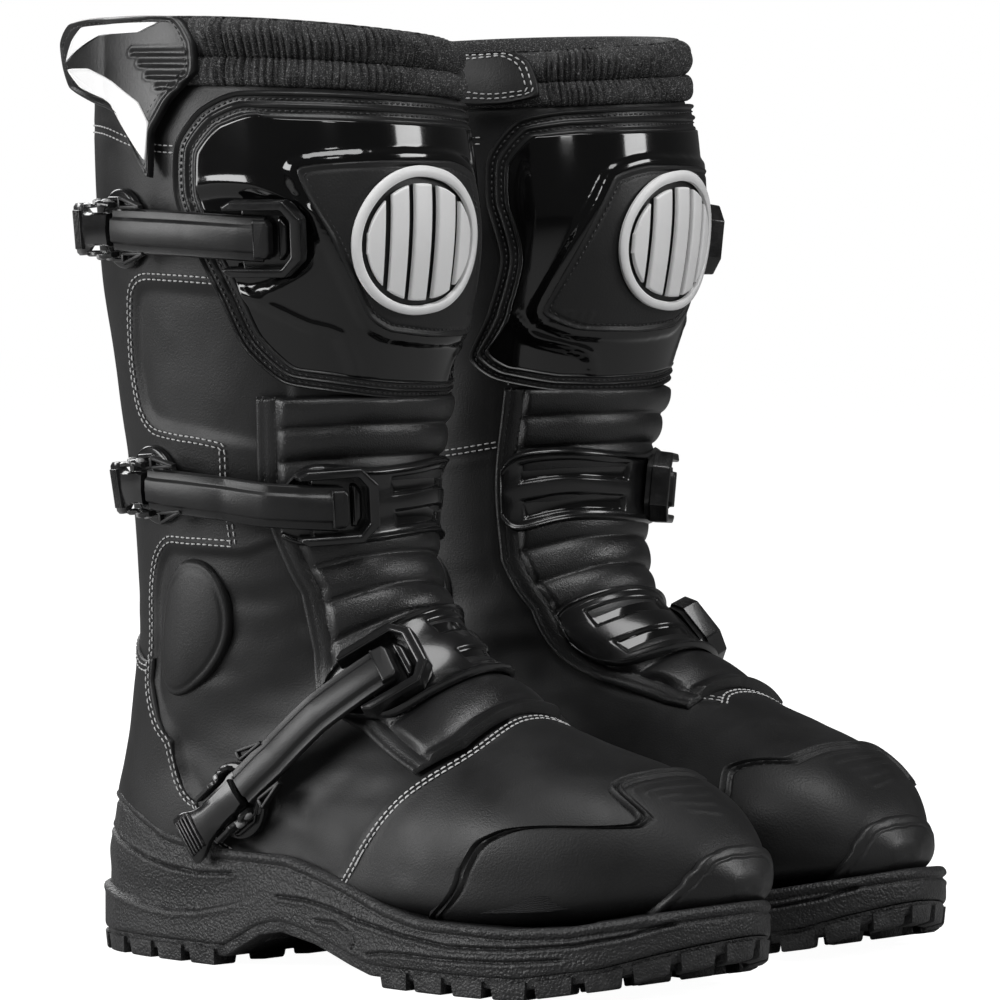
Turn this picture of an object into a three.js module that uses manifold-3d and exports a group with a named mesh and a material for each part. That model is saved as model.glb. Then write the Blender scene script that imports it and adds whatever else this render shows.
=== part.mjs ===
// A pair of motorcycle riding boots with buckled straps. Millimetres, +Z up, toes towards -Y.
// One boot is drawn in its own frame (x outward from the wearer's midline, y towards the heel,
// z up) and used for the left foot; its mirror image makes the right foot.
import * as THREE from 'three';
import { mergeVertices } from 'three/addons/utils/BufferGeometryUtils.js';
import Module from 'manifold-3d';

const wasm = await Module();
wasm.setup();

// ---------------------------------------------------------------- driving sizes
const SPACING = 152;          // between the long axes of the two boots
const SET_BACK = 29;          // the left boot stands this far behind the right one
const MID_LENGTH = 155;       // distance from the back of the heel to the boot's own origin
const GAP = 0.3;              // clearance between touching pieces
const BED = 1.0;              // underside of stitched-on pieces above the leather
const LEATHER = 3;            // thickness of the upper with its backing
const LINING = 3;
const COLLAR = 0.43;          // height parameter of the leather's top edge
const OVERLAY = 1.4;          // thickness of stitched-on leather overlays
const PLATE_TOP = 3.6;        // outer face of the shin plate above the leather
const TREAD_DEPTH = 8;        // underside of the midsole above the ground
const STRAP_LOW = 7;
const STRAP_HIGH = 11;
const STRAP_PIVOT = 9.4;       // height of the hinge axes above the leather
const LATERAL_RISE = 5;       // how much higher the cuff stands on the outer side

// Cross-sections of the leg and foot from the top rim to the toe tip.
// front y, front z, back y, back z, outer half width, inner half width, centre x,
// front roundness, back roundness, share of the depth in the front half
const SECTIONS = [
  [160, 358, 15, 360, 60, 58, 9, 2.2, 2.2, 0.50],
  [168, 290, 16, 290, 63, 61, 8, 2.3, 2.2, 0.50],
  [157, 228, 22, 225, 56, 54, 6, 2.3, 2.2, 0.50],
  [146, 185, 27, 175, 50, 49, 4, 2.3, 2.2, 0.50],
  [149, 157, 27, 122, 47, 46, 3, 2.2, 2.2, 0.50],
  [157, 141, 20, 80, 46, 45, 1, 2.1, 2.3, 0.52],
  [166, 131, 13, 50, 44, 43, 0, 2.0, 2.6, 0.55],
  [176, 123, 28, 29, 44, 42, 0, 2.0, 3.5, 0.60],
  [187, 115, 80, 28, 44, 42, 0, 2.0, 5.0, 0.66],
  [201, 107, 135, 27, 49, 44, 1, 2.0, 5.0, 0.70],
  [220, 98, 185, 25, 55, 48, 1, 2.1, 5.0, 0.70],
  [243, 90, 230, 25, 56, 49, -1, 2.2, 5.0, 0.68],
  [266, 83, 263, 28, 49, 45, -4, 2.3, 4.5, 0.66],
  [286, 74, 287, 32, 37, 34, -7, 2.4, 4.0, 0.64],
  [301, 60, 302, 36, 22, 21, -9, 2.4, 3.5, 0.62],
  [308, 46, 308, 40, 7, 7, -10, 2.4, 3.0, 0.60],
];
const LAST = SECTIONS.length - 1;

// Plan outline of the sole from heel to toe: y, inner x, outer x
const SOLE = [
  [5, -6, 6], [7, -17, 17], [11, -26, 26], [18, -33, 33], [30, -39, 40],
  [50, -43, 45], [70, -44, 47], [90, -43.5, 48.5], [110, -43, 50], [132, -44, 52],
  [155, -46, 54.5], [178, -49, 57.5], [200, -51.5, 60], [220, -53, 61], [240, -53.5, 60],
  [262, -52, 55], [282, -47, 46], [294, -41, 36.5], [302, -35, 28], [309, -26.5, 16],
  [313, -19, 5], [315, -12, -4],
];
// Height of the midsole's upper edge, and of its underside, along the boot: y, z
const WALL_TOP = [[0, 63], [32, 63], [50, 56], [64, 50], [98, 45.5], [133, 45.5], [150, 42],
  [165, 38.5], [190, 31], [209, 27.5], [252, 26.5], [274, 28], [300, 33], [320, 37]];
const UNDERSIDE = [[0, 12], [12, 8], [98, 8], [106, 12], [118, 18], [130, 20], [150, 17],
  [170, 11], [182, 8], [255, 8], [285, 13], [320, 25]];

// ---------------------------------------------------------------- the body surface
function curve(table, x) {
  let k = 0;
  while (k < table.length - 2 && x > table[k + 1][0]) k += 1;
  const [x0, y0] = table[k];
  const [x1, y1] = table[k + 1];
  return y0 + (y1 - y0) * Math.min(1, Math.max(0, (x - x0) / (x1 - x0)));
}

function sectionAt(u) {
  const w = Math.min(LAST, Math.max(0, u));
  const i = Math.min(LAST - 1, Math.floor(w));
  const t = w - i;
  const p0 = SECTIONS[Math.max(0, i - 1)];
  const p1 = SECTIONS[i];
  const p2 = SECTIONS[i + 1];
  const p3 = SECTIONS[Math.min(LAST, i + 2)];
  return p1.map((v, k) => 0.5 * (2 * v + (p2[k] - p0[k]) * t
    + (2 * p0[k] - 5 * v + 4 * p2[k] - p3[k]) * t * t
    + (3 * v - p0[k] - 3 * p2[k] + p3[k]) * t * t * t));
}

// Point of the leather's outer face: u runs down the leg and along the foot, the angle is
// 0 at the front, 90 on the outer side, 180 at the back.
function bodyPoint(u, degrees) {
  const [fy, fz, by, bz, outer, inner, cx, front, back, share] = sectionAt(u);
  const c = Math.cos(degrees * Math.PI / 180);
  const s = Math.sin(degrees * Math.PI / 180);
  const power = 2 / (c >= 0 ? front : back);
  const depth = Math.abs(c) ** power;
  const tau = c >= 0 ? share * (1 - depth) : share + (1 - share) * depth;
  const width = Math.abs(s) ** power * (s >= 0 ? outer : inner);
  const rise = LATERAL_RISE * s * Math.max(0, 1 - u);
  return new THREE.Vector3(
    cx + Math.sign(s) * width,
    MID_LENGTH - (fy + (by - fy) * tau),
    fz + (bz - fz) * tau + rise,
  );
}

function bodyNormal(u, degrees) {
  const h = 0.02;
  const along = bodyPoint(Math.min(LAST, u + h), degrees).sub(bodyPoint(Math.max(0, u - h), degrees));
  const around = bodyPoint(u, degrees + 1).sub(bodyPoint(u, degrees - 1));
  return along.cross(around).normalize();
}

function skin(u, degrees, lift) {
  return bodyPoint(u, degrees).addScaledVector(bodyNormal(u, degrees), lift);
}

// ---------------------------------------------------------------- mesh helpers
function geometryFrom(points, faces) {
  let volume = 0;
  for (const [a, b, c] of faces) {
    volume += points[a].dot(points[b].clone().cross(points[c]));
  }
  const index = faces.flatMap(([a, b, c]) => (volume > 0 ? [a, b, c] : [a, c, b]));
  const geometry = new THREE.BufferGeometry().setFromPoints(points);
  geometry.setIndex(index);
  geometry.computeVertexNormals();
  return geometry;
}

// Rings of equal length joined in order; either closed by a fan at both ends or joined in a loop.
function loft(rings, looped = false) {
  const n = rings[0].length;
  const points = rings.flat();
  const faces = [];
  const spans = looped ? rings.length : rings.length - 1;
  for (let r = 0; r < spans; r += 1) {
    const next = (r + 1) % rings.length;
    for (let k = 0; k < n; k += 1) {
      const m = (k + 1) % n;
      faces.push([r * n + k, r * n + m, next * n + m]);
      faces.push([r * n + k, next * n + m, next * n + k]);
    }
  }
  if (!looped) {
    for (const [ring, forward] of [[0, false], [rings.length - 1, true]]) {
      const centre = new THREE.Vector3();
      rings[ring].forEach((p) => centre.add(p));
      points.push(centre.divideScalar(n));
      for (let k = 0; k < n; k += 1) {
        const a = ring * n + k;
        const b = ring * n + ((k + 1) % n);
        faces.push(forward ? [a, b, points.length - 1] : [b, a, points.length - 1]);
      }
    }
  }
  return geometryFrom(points, faces);
}

function ringAt(u, lift, count, rise = 0) {
  const ring = [];
  for (let k = 0; k < count; k += 1) {
    const p = skin(u, 360 * k / count, lift);
    p.z += rise;
    ring.push(p);
  }
  return ring;
}

// Four-sided piece of skin: at(s, t) gives [u, angle]; low and high are heights above the leather.
function slab(across, along, at, low, high) {
  const rows = [];
  const height = (value, s, t) => (typeof value === 'function' ? value(s, t) : value);
  for (let j = 0; j <= along; j += 1) {
    const t = j / along;
    const top = [];
    const bottom = [];
    for (let i = 0; i <= across; i += 1) {
      const s = i / across;
      const [u, angle] = at(s, t);
      top.push(skin(u, angle, height(high, s, t)));
      bottom.unshift(skin(u, angle, height(low, s, t)));
    }
    rows.push([...top, ...bottom]);
  }
  const n = rows[0].length;
  const points = rows.flat();
  const faces = [];
  for (let j = 0; j < along; j += 1) {
    for (let k = 0; k < n; k += 1) {
      const m = (k + 1) % n;
      faces.push([j * n + k, j * n + m, (j + 1) * n + m]);
      faces.push([j * n + k, (j + 1) * n + m, (j + 1) * n + k]);
    }
  }
  for (const [j, forward] of [[0, false], [along, true]]) {
    for (let i = 0; i < across; i += 1) {
      const a = j * n + i;
      const b = a + 1;
      const c = j * n + n - 2 - i;
      const d = c + 1;
      faces.push(forward ? [a, b, c] : [b, a, c]);
      faces.push(forward ? [a, c, d] : [c, a, d]);
    }
  }
  return geometryFrom(points, faces);
}

// A closed outline given as [u, angle] corners, resampled evenly and slightly rounded.
const U_MM = 60;
const DEG_MM = 1.05;
function outline(corners, count, rounding = 0.5) {
  const flat = corners.map(([u, a]) => new THREE.Vector3(u * U_MM, a * DEG_MM, 0));
  const path = new THREE.CatmullRomCurve3(flat, true, 'catmullrom', rounding);
  return path.getSpacedPoints(count).slice(0, count);
}

function inset(loop, distance) {
  const n = loop.length;
  let area = 0;
  loop.forEach((p, k) => {
    const q = loop[(k + 1) % n];
    area += p.x * q.y - q.x * p.y;
  });
  return loop.map((p, k) => {
    const tangent = loop[(k + 1) % n].clone().sub(loop[(k + n - 1) % n]).normalize();
    const normal = new THREE.Vector3(-tangent.y, tangent.x, 0).multiplyScalar(Math.sign(area));
    return p.clone().addScaledVector(normal, distance);
  });
}

function liftLoop(loop, height) {
  return loop.map((p) => skin(p.x / U_MM, p.y / DEG_MM, height));
}

function shrink(loop, factor) {
  const centre = new THREE.Vector3();
  loop.forEach((p) => centre.add(p));
  centre.divideScalar(loop.length);
  return loop.map((p) => centre.clone().lerp(p, factor));
}

// A piece lying on the leather inside an outline; crown raises its middle.
function pad(loop, low, high, crown = 0, rings = [0.25, 0.5, 0.75, 1]) {
  const upper = rings.map((r) => liftLoop(shrink(loop, r), high + crown * (1 - r * r)));
  const lower = rings.map((r) => liftLoop(shrink(loop, r), low)).reverse();
  return loft([...upper, ...lower]);
}

// The same between two outlines, as a frame.
function frameBand(outer, inner, low, high) {
  return loft([liftLoop(outer, high), liftLoop(inner, high), liftLoop(inner, low), liftLoop(outer, low)], true);
}

// Local frame on the leather: t along the strap towards the heel side, b across it, n outward.
function frameOn(u, angle, uStep = 0) {
  const n = bodyNormal(u, angle);
  const t = bodyPoint(u + uStep, angle + 4).sub(bodyPoint(u - uStep, angle - 4));
  t.addScaledVector(n, -t.dot(n)).normalize();
  const b = n.clone().cross(t).normalize();
  return { t, b, n, p: bodyPoint(u, angle) };
}

// A strap-like bar following the leather. Stations are [u, angle, width, low, high].
function ribbon(stations) {
  const rings = stations.map(([u, angle, width, low, high], k) => {
    const before = stations[Math.max(0, k - 1)];
    const after = stations[Math.min(stations.length - 1, k + 1)];
    const n = bodyNormal(u, angle);
    const t = bodyPoint(after[0], after[1]).sub(bodyPoint(before[0], before[1]));
    t.addScaledVector(n, -t.dot(n)).normalize();
    const b = n.clone().cross(t).normalize();
    const corner = (side, lift) => bodyPoint(u, angle)
      .addScaledVector(b, side * width / 2).addScaledVector(n, lift);
    const mid = (low + high) / 2;
    return [corner(-0.86, high), corner(0.86, high), corner(1, mid), corner(0.86, low),
      corner(-0.86, low), corner(-1, mid)];
  });
  return loft(rings);
}

// A flat plate cut to a polygon in a frame on the leather.
function plateOn(place, corners, low, high, bevel = 0.6) {
  const shape = new THREE.Shape(corners.map(([t, b]) => new THREE.Vector2(t, b)));
  const geometry = new THREE.ExtrudeGeometry(shape, {
    depth: high - low - 2 * bevel, bevelEnabled: true, bevelSize: bevel, bevelThickness: bevel, bevelSegments: 1,
  });
  geometry.translate(0, 0, low + bevel);
  const matrix = new THREE.Matrix4().makeBasis(place.t, place.b, place.n).setPosition(place.p);
  return geometry.applyMatrix4(matrix);
}

function toSolid(geometry) {
  const bare = geometry.clone();
  bare.deleteAttribute('normal');
  bare.deleteAttribute('uv');
  const merged = mergeVertices(bare, 1e-4);
  return new wasm.Manifold(new wasm.Mesh({
    numProp: 3,
    vertProperties: new Float32Array(merged.attributes.position.array),
    triVerts: new Uint32Array(merged.index.array),
  }));
}

function fromSolid(solid) {
  const mesh = solid.getMesh();
  const geometry = new THREE.BufferGeometry();
  geometry.setAttribute('position', new THREE.BufferAttribute(new Float32Array(mesh.vertProperties), 3));
  geometry.setIndex(new THREE.BufferAttribute(new Uint32Array(mesh.triVerts), 1));
  geometry.computeVertexNormals();
  return geometry;
}

function joined(...geometries) {
  const solids = geometries.map(toSolid);
  return fromSolid(solids.slice(1).reduce((sum, solid) => sum.add(solid), solids[0]));
}

// ---------------------------------------------------------------- leather and soft pieces
const SEGMENTS = 24;
const LEG_ROWS = [COLLAR, 1.2, 2, 2.8, 3.7, 4.6];
const FOOT_ROWS = [15, 14.5, 13.8, 12.8, 11.6, 10.3, 9.2, 8.3, 7.4, 6.5, 5.5];
const INNER_ROWS = [5.6, 6.6, 7.4, 8.4, 9.4, 10.6, 12, 13.6];

function upper() {
  return loft([
    ...FOOT_ROWS.map((u) => ringAt(u, 0, SEGMENTS)),
    ...LEG_ROWS.slice().reverse().map((u) => ringAt(u, 0, SEGMENTS)),
    ...LEG_ROWS.map((u) => ringAt(u, -LEATHER, SEGMENTS)),
    ...INNER_ROWS.map((u) => ringAt(u, -LEATHER, SEGMENTS)),
  ]);
}

function lining() {
  const outer = LEATHER + GAP;
  return loft([
    ...LEG_ROWS.map((u) => ringAt(u, -outer, SEGMENTS)),
    ...LEG_ROWS.slice().reverse().map((u) => ringAt(u, -outer - LINING, SEGMENTS)),
  ], true);
}

function cuff() {
  const profile = [[0.41, 0.4, 0], [0.34, 2.2, 0], [0.27, 1.0, 0], [0.16, 3.0, 0], [0.03, 1.6, 0],
    [0.02, -7, 0], [0.41, -8, 0]];
  return loft(profile.map(([u, lift, rise]) => ringAt(u, lift, 28, rise)), true);
}

function footbed() {
  const profile = [[20, 0], [80, 0], [135, -1], [185, -2.5], [230, -2.5], [263, 0], [290, 4]];
  const rings = profile.map(([f, z]) => [[-70, 20], [70, 20], [70, 37 + z], [-70, 37 + z]]
    .map(([x, height]) => new THREE.Vector3(x, MID_LENGTH - f, height)));
  const hollow = toSolid(loft([4.6, ...INNER_ROWS].map((u) => ringAt(u, -LEATHER - GAP, SEGMENTS))));
  return fromSolid(hollow.intersect(toSolid(loft(rings))));
}

function shinPadding() {
  const outerEdge = [[2.25, 62], [2.9, 61], [3.5, 56], [4.3, 49], [5.5, 50], [6.5, 53], [8, 52], [9.3, 56]];
  const innerEdge = [[2.25, -56], [4, -56], [5.1, -46], [7.9, -40], [9, -34], [9.3, -30]];
  const at = (s, t) => {
    const u = 2.25 + t * 7.05;
    const high = curve(outerEdge, u);
    const low = curve(innerEdge, u);
    const angle = low + (high - low) * s;
    const reach = t > 0.85 ? (t - 0.85) / 0.15 : 0;
    return [u + reach * curve([[-35, 0.5], [5, 0.4], [37, 0.55], [60, 0.15]], angle), angle];
  };
  return slab(8, 13, at, 1.8, (s) => (s < 0.08 || s > 0.92 ? 2.8 : 4.2));
}

// Row parameter at which the back of the leather meets the top of the midsole.
function rowAtSole(angle) {
  let low = 4.6;
  let high = 7.3;
  for (let k = 0; k < 20; k += 1) {
    const middle = (low + high) / 2;
    const p = skin(middle, angle, OVERLAY);
    if (p.z > curve(WALL_TOP, MID_LENGTH - p.y) + 1.2) low = middle;
    else high = middle;
  }
  return low;
}

function heelCounter() {
  const edge = [[3.4, 107], [3.8, 115], [4.6, 115], [5.2, 108], [5.7, 99], [6.4, 94]];
  const at = (s, t) => {
    const u = 3.4 + t * 2.95;
    const start = curve(edge, u);
    const angle = start + (360 - 2 * start) * s;
    return [3.4 + t * (rowAtSole(angle) - 3.4), angle];
  };
  return slab(12, 5, at, BED + 0.6, BED + 0.6 + OVERLAY);
}

function angleAtSole(u, side) {
  let low = 60;
  let high = 176;
  for (let k = 0; k < 24; k += 1) {
    const middle = (low + high) / 2;
    const p = skin(u, side * middle, OVERLAY);
    if (p.z > curve(WALL_TOP, MID_LENGTH - p.y) + 1.8) low = middle;
    else high = middle;
  }
  return low;
}

function toeCap() {
  const edge = [[-180, 10.7], [-110, 11.05], [-67, 11.35], [-53, 11.2], [-32, 12.1], [10, 12.45], [17, 12.3],
    [32, 12.2], [47, 12.9], [60, 12.6], [69, 11.1], [77, 10.9], [120, 10.5], [180, 10.4]];
  const at = (s, t) => {
    const guess = (2 * s - 1) * 120;
    const start = curve(edge, guess);
    const u = start + (14.9 - start) * t;
    const limit = angleAtSole(u, Math.sign(guess) || 1);
    return [u, Math.sign(guess) * Math.min(Math.abs(guess), limit * Math.abs(guess) / 120)];
  };
  const cover = toSolid(slab(16, 5, at, BED, BED + 0.6 + OVERLAY));
  return fromSolid(cover.subtract(footSolid(GAP)).subtract(toeCutter(GAP)).subtract(midsoleBlock(0.5)));
}

function anklePad(side) {
  const loop = [];
  for (let k = 0; k < 16; k += 1) {
    const turn = 2 * Math.PI * k / 16;
    loop.push(new THREE.Vector3((4.3 + 0.74 * Math.cos(turn)) * U_MM, side * (94 + 15 * Math.sin(turn)) * DEG_MM, 0));
  }
  return pad(loop, BED, BED + 0.8, 1.8, [0.5, 1]);
}

// ---------------------------------------------------------------- shin armour
const SHIN_OUTLINE = outline([[0.45, 66], [0.44, 44], [0.44, 17], [0.44, -12], [0.45, -38], [0.5, -54],
  [0.68, -64], [0.95, -65], [1.28, -60], [1.62, -64], [1.92, -70], [2.08, -60], [2.17, -38], [2.19, -14],
  [2.17, 10], [2.11, 34], [2.04, 52], [1.8, 66], [1.5, 74], [1.2, 82], [0.92, 87], [0.68, 86], [0.53, 78]], 30);
const SHIN_INNER = inset(SHIN_OUTLINE, 7);
const PANEL = [[0.8, 47], [0.75, 20], [0.74, -6], [0.8, -20], [1.1, -30], [1.6, -44], [1.72, -30], [1.74, -4],
  [1.7, 14], [1.6, 23], [1.15, 37]];

function shinFrame() {
  return frameBand(SHIN_OUTLINE, SHIN_INNER, BED, 3.2);
}

function shinPlate() {
  return pad(inset(SHIN_INNER, 0.5), 1.5, PLATE_TOP, 0, [0.22, 0.48, 0.74, 1]);
}

function emblemPanel() {
  return pad(outline(PANEL, 20, 0.2), PLATE_TOP + 1.4, PLATE_TOP + 2.6, 0, [0.35, 0.7, 1]);
}

function emblem() {
  const loop = [];
  for (let k = 0; k < 20; k += 1) {
    const turn = 2 * Math.PI * k / 20;
    loop.push(new THREE.Vector3((1.18 + 0.4 * Math.cos(turn)) * U_MM, (5 + 24 * Math.sin(turn)) * DEG_MM, 0));
  }
  return pad(loop, PLATE_TOP + 3.5, PLATE_TOP + 4.6, 0, [0.5, 1]);
}

function cuffBadge() {
  const loop = outline([[0.3, 137], [0.16, 141], [0.03, 131], [0, 118], [0, 96], [0.02, 82], [0.2, 77],
    [0.36, 77], [0.5, 86], [0.64, 91], [0.84, 92], [0.72, 97], [0.56, 104], [0.5, 116], [0.42, 130]], 28, 0.3);
  const flare = (p) => Math.max(0, (p.y / DEG_MM - 110) / 30) * 7;
  const rise = (height) => (scaled) => scaled.map((p) => skin(p.x / U_MM, p.y / DEG_MM, height + flare(p)));
  const radii = [0.4, 1];
  return loft([
    ...radii.map((r) => rise(7.4 - 1.2 * r)(shrink(loop, r))),
    ...radii.slice().reverse().map((r) => rise(3.9)(shrink(loop, r))),
  ]);
}

function closureFlap() {
  const loop = outline([[0.02, -102], [0.01, -76], [0.02, -54], [0.14, -47], [0.36, -45], [0.41, -58],
    [0.41, -80], [0.41, -102], [0.2, -104]], 26, 0.2);
  return pad(loop, 3.9, 5.6, 0, [0.5, 1]);
}

// ---------------------------------------------------------------- sole
function soleRing(shave, height) {
  const middle = (SOLE[0][0] + SOLE[SOLE.length - 1][0]) / 2;
  const half = middle - SOLE[0][0];
  const place = (f, x) => {
    const y = middle + (f - middle) * (1 - shave / half);
    return new THREE.Vector3(x - Math.sign(x) * Math.min(Math.abs(x) * 0.8, shave), MID_LENGTH - y, height(y));
  };
  const outer = SOLE.map(([f, , x]) => place(f, x));
  const inner = SOLE.map(([f, x]) => place(f, x)).reverse();
  return [...outer, ...inner];
}

// Rings stacked upwards and closed below and above by strips running across the boot.
function soleStack(rings) {
  const n = rings[0].length;
  const points = rings.flat();
  const faces = [];
  for (let r = 0; r < rings.length - 1; r += 1) {
    for (let k = 0; k < n; k += 1) {
      const m = (k + 1) % n;
      faces.push([r * n + k, r * n + m, (r + 1) * n + m]);
      faces.push([r * n + k, (r + 1) * n + m, (r + 1) * n + k]);
    }
  }
  for (const [base, forward] of [[0, false], [(rings.length - 1) * n, true]]) {
    for (let k = 0; k < n / 2 - 1; k += 1) {
      const a = base + k;
      const b = a + 1;
      const c = base + n - 2 - k;
      const d = c + 1;
      faces.push(forward ? [a, b, c] : [b, a, c]);
      faces.push(forward ? [a, c, d] : [c, a, d]);
    }
  }
  return geometryFrom(points, faces);
}

function footSolid(lift) {
  const rows = [...FOOT_ROWS, 4.6];
  return toSolid(loft(rows.map((u) => ringAt(u, lift, SEGMENTS))));
}

function outsole() {
  const under = (f) => curve(UNDERSIDE, f);
  let solid = toSolid(soleStack([
    soleRing(3.4, (f) => under(f) - 3.2),
    soleRing(2.2, (f) => under(f) - GAP),
  ]));
  const lug = (f, x, length, width) => {
    const top = under(f) - 2.4;
    const bottom = under(f) - TREAD_DEPTH;
    const box = new THREE.BoxGeometry(width, length, top - bottom);
    return toSolid(box.translate(x, MID_LENGTH - f, (top + bottom) / 2));
  };
  const edgeAt = (f) => {
    const inner = curve(SOLE.map(([y, x]) => [y, x]), f);
    const outer = curve(SOLE.map(([y, , x]) => [y, x]), f);
    return [inner, outer];
  };
  const edgeRows = [26, 52, 78, 194, 220, 246, 272, 294];
  for (const f of edgeRows) {
    const [inner, outer] = edgeAt(f);
    const trim = f < 30 || f > 280 ? 8 : 3;
    solid = solid.add(lug(f, outer - trim - 7, 14, 14));
    solid = solid.add(lug(f, inner + trim + 7, 14, 14));
  }
  const middleRows = [15, 39, 65, 90, 207, 233, 259, 284];
  for (const f of middleRows) {
    const [inner, outer] = edgeAt(f);
    solid = solid.add(lug(f, (inner + outer) / 2, 9, Math.min(34, (outer - inner) * 0.36)));
  }
  return fromSolid(solid);
}

// Side-view outline of the toe bumper run right across the boot.
function toeCutter(grow) {
  const profile = [[262 - grow, 20], [262 - grow, 27.6], [270 - grow, 36], [286 - grow, 49 + grow],
    [303, 56 + grow], [330, 58 + grow], [330, 20]];
  const shape = new THREE.Shape(profile.map(([f, z]) => new THREE.Vector2(f, z)));
  const prism = new THREE.ExtrudeGeometry(shape, { depth: 160, bevelEnabled: false });
  prism.translate(0, 0, -80);
  const place = new THREE.Matrix4().makeBasis(
    new THREE.Vector3(0, -1, 0), new THREE.Vector3(0, 0, 1), new THREE.Vector3(-1, 0, 0),
  ).setPosition(0, MID_LENGTH, 0);
  return toSolid(prism.applyMatrix4(place));
}

function midsoleBlock(raise) {
  const under = (f) => curve(UNDERSIDE, f);
  const top = (f) => curve(WALL_TOP, f) + raise;
  return toSolid(soleStack([
    soleRing(2, under),
    soleRing(0, (f) => under(f) + 5),
    soleRing(0, (f) => under(f) + 0.55 * (top(f) - under(f))),
    soleRing(1.4, top),
  ]));
}

function midsole() {
  return fromSolid(midsoleBlock(0).subtract(footSolid(GAP)));
}

function toeBumper() {
  const shell = footSolid(4.6).subtract(footSolid(0.6));
  return fromSolid(shell.intersect(toeCutter(0)).subtract(midsoleBlock(0.5)));
}

// ---------------------------------------------------------------- buckles
// Each buckle: where its holder, strap path, lever and catch lie on the leather.
const BUCKLES = {
  upper: {
    holder: [1.15, 58], seat: 4.4, width: 17, reach: [64, 102], u: [1.15, 1.1],
    leverEnd: 128, catchAt: [1.1, 107],
  },
  middle: {
    holder: [3.16, 31], seat: 7.2, width: 17, reach: [55, 98], u: [3.18, 2.88],
    leverEnd: 122, catchAt: [2.86, 104],
  },
  lower: {
    holder: [7.22, 33], seat: 7.2, width: 16, reach: [54, 80], u: [7.22, 7.5],
    leverEnd: 97, catchAt: [7.5, 87],
  },
};
const HEX = [[-15, -8], [-10, -13.5], [5, -13.5], [5, 13.5], [-10, 13.5], [-15, 8]];
const FORK = [[-15, -8], [-10, -13.5], [11, -13.5], [14, -10.5], [-9, -10.5], [-9, 10.5], [14, 10.5],
  [11, 13.5], [-10, 13.5], [-15, 8]];

// Plates over the front of the ankle and instep: angle, upper edge, lower edge
const FRONT_PLATES = {
  middle: [[-53, 2.9, 3.45], [-46, 2.72, 3.66], [-24, 2.68, 3.62], [12, 2.76, 3.72], [40, 2.72, 3.66], [52, 3.0, 3.5]],
  lower: [[-37, 5.5, 6.7], [-33, 5.3, 7.9], [-20, 5.3, 8.3], [4, 5.5, 8.4], [28, 5.6, 8.45], [44, 6.1, 8.3],
    [52, 6.8, 7.4]],
};

function frontPlate(edges) {
  const first = edges[0][0];
  const last = edges[edges.length - 1][0];
  const at = (s, t) => {
    const angle = first + (last - first) * s;
    const top = curve(edges.map(([a, u]) => [a, u]), angle);
    const bottom = curve(edges.map(([a, , u]) => [a, u]), angle);
    return [top + (bottom - top) * t, angle];
  };
  return slab(10, 2, at, 5.4, 7.6);
}

function buckleParts(name) {
  const spec = BUCKLES[name];
  const [uHold, aHold] = spec.holder;
  const place = frameOn(uHold, aHold, name === 'lower' ? 0.02 : 0);
  const base = spec.seat;
  const plate = plateOn(place, HEX, base, base + 2.4);
  const fork = plateOn(place, FORK, base + 2.2, base + 8.4);
  const pieces = name === 'upper' ? [plate, fork] : [frontPlate(FRONT_PLATES[name]), plate, fork];
  const lift = base + 6;
  const [from, to] = spec.reach;
  const uAlong = (angle) => spec.u[0] + (spec.u[1] - spec.u[0]) * (angle - aHold) / (to - aHold);
  const stations = [];
  const steps = 6;
  const start = aHold - 1.6;
  for (let k = 0; k <= steps; k += 1) {
    const angle = start + (to - start) * k / steps;
    const settle = Math.min(1, Math.max(0, (angle - from) / 16));
    const low = lift - 2 + (STRAP_LOW - lift + 2) * settle;
    stations.push([uAlong(angle), angle, spec.width, low, low + 4]);
  }
  const strap = ribbon(stations);
  const leverStart = to + 3.2;
  const leverSteps = 4;
  const leverStations = [];
  for (let k = 0; k <= leverSteps; k += 1) {
    const s = k / leverSteps;
    const angle = leverStart + (spec.leverEnd - leverStart) * s;
    const width = s < 0.5 ? 15 : 15 + 6 * (s - 0.5) * 2;
    leverStations.push([uAlong(Math.min(angle, to + 6)), angle, width, 6.6 + (s === 0 ? 0.6 : 0), 11.4 - 1.2 * s]);
  }
  const lever = ribbon(leverStations);
  const [uCatch, aCatch] = spec.catchAt;
  const catchPlace = frameOn(uCatch, aCatch);
  const catchShape = [];
  for (let k = 0; k < 12; k += 1) {
    const turn = 2 * Math.PI * (k + 0.5) / 12;
    catchShape.push([11 * Math.cos(turn), 12.5 * Math.sin(turn)]);
  }
  const catchPlate = plateOn(catchPlace, catchShape, 1.8, 4.6);
  const hinges = {};
  const pivot = frameOn(uAlong(aHold), aHold);
  hinges.strap = {
    pos: pivot.p.clone().addScaledVector(pivot.n, lift),
    t: pivot.t,
    n: pivot.n,
  };
  const leverPivot = frameOn(uAlong(leverStart), leverStart + 2);
  hinges.lever = {
    pos: leverPivot.p.clone().addScaledVector(leverPivot.n, STRAP_PIVOT),
    t: leverPivot.t,
    n: leverPivot.n,
  };
  return { holder: joined(...pieces), strap, lever, catch: catchPlate, hinges };
}

// ---------------------------------------------------------------- assembly
const FINISHES = {
  leather: { color: 0x1b1b1c, roughness: 0.62, metalness: 0 },
  lining: { color: 0x222224, roughness: 0.95, metalness: 0 },
  knit: { color: 0x1c1c1e, roughness: 0.9, metalness: 0 },
  gloss: { color: 0x0d0d0e, roughness: 0.15, metalness: 0 },
  plastic: { color: 0x131314, roughness: 0.4, metalness: 0 },
  rubber: { color: 0x1a1a1b, roughness: 0.8, metalness: 0 },
  white: { color: 0xf0f0ee, roughness: 0.45, metalness: 0 },
};

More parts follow.
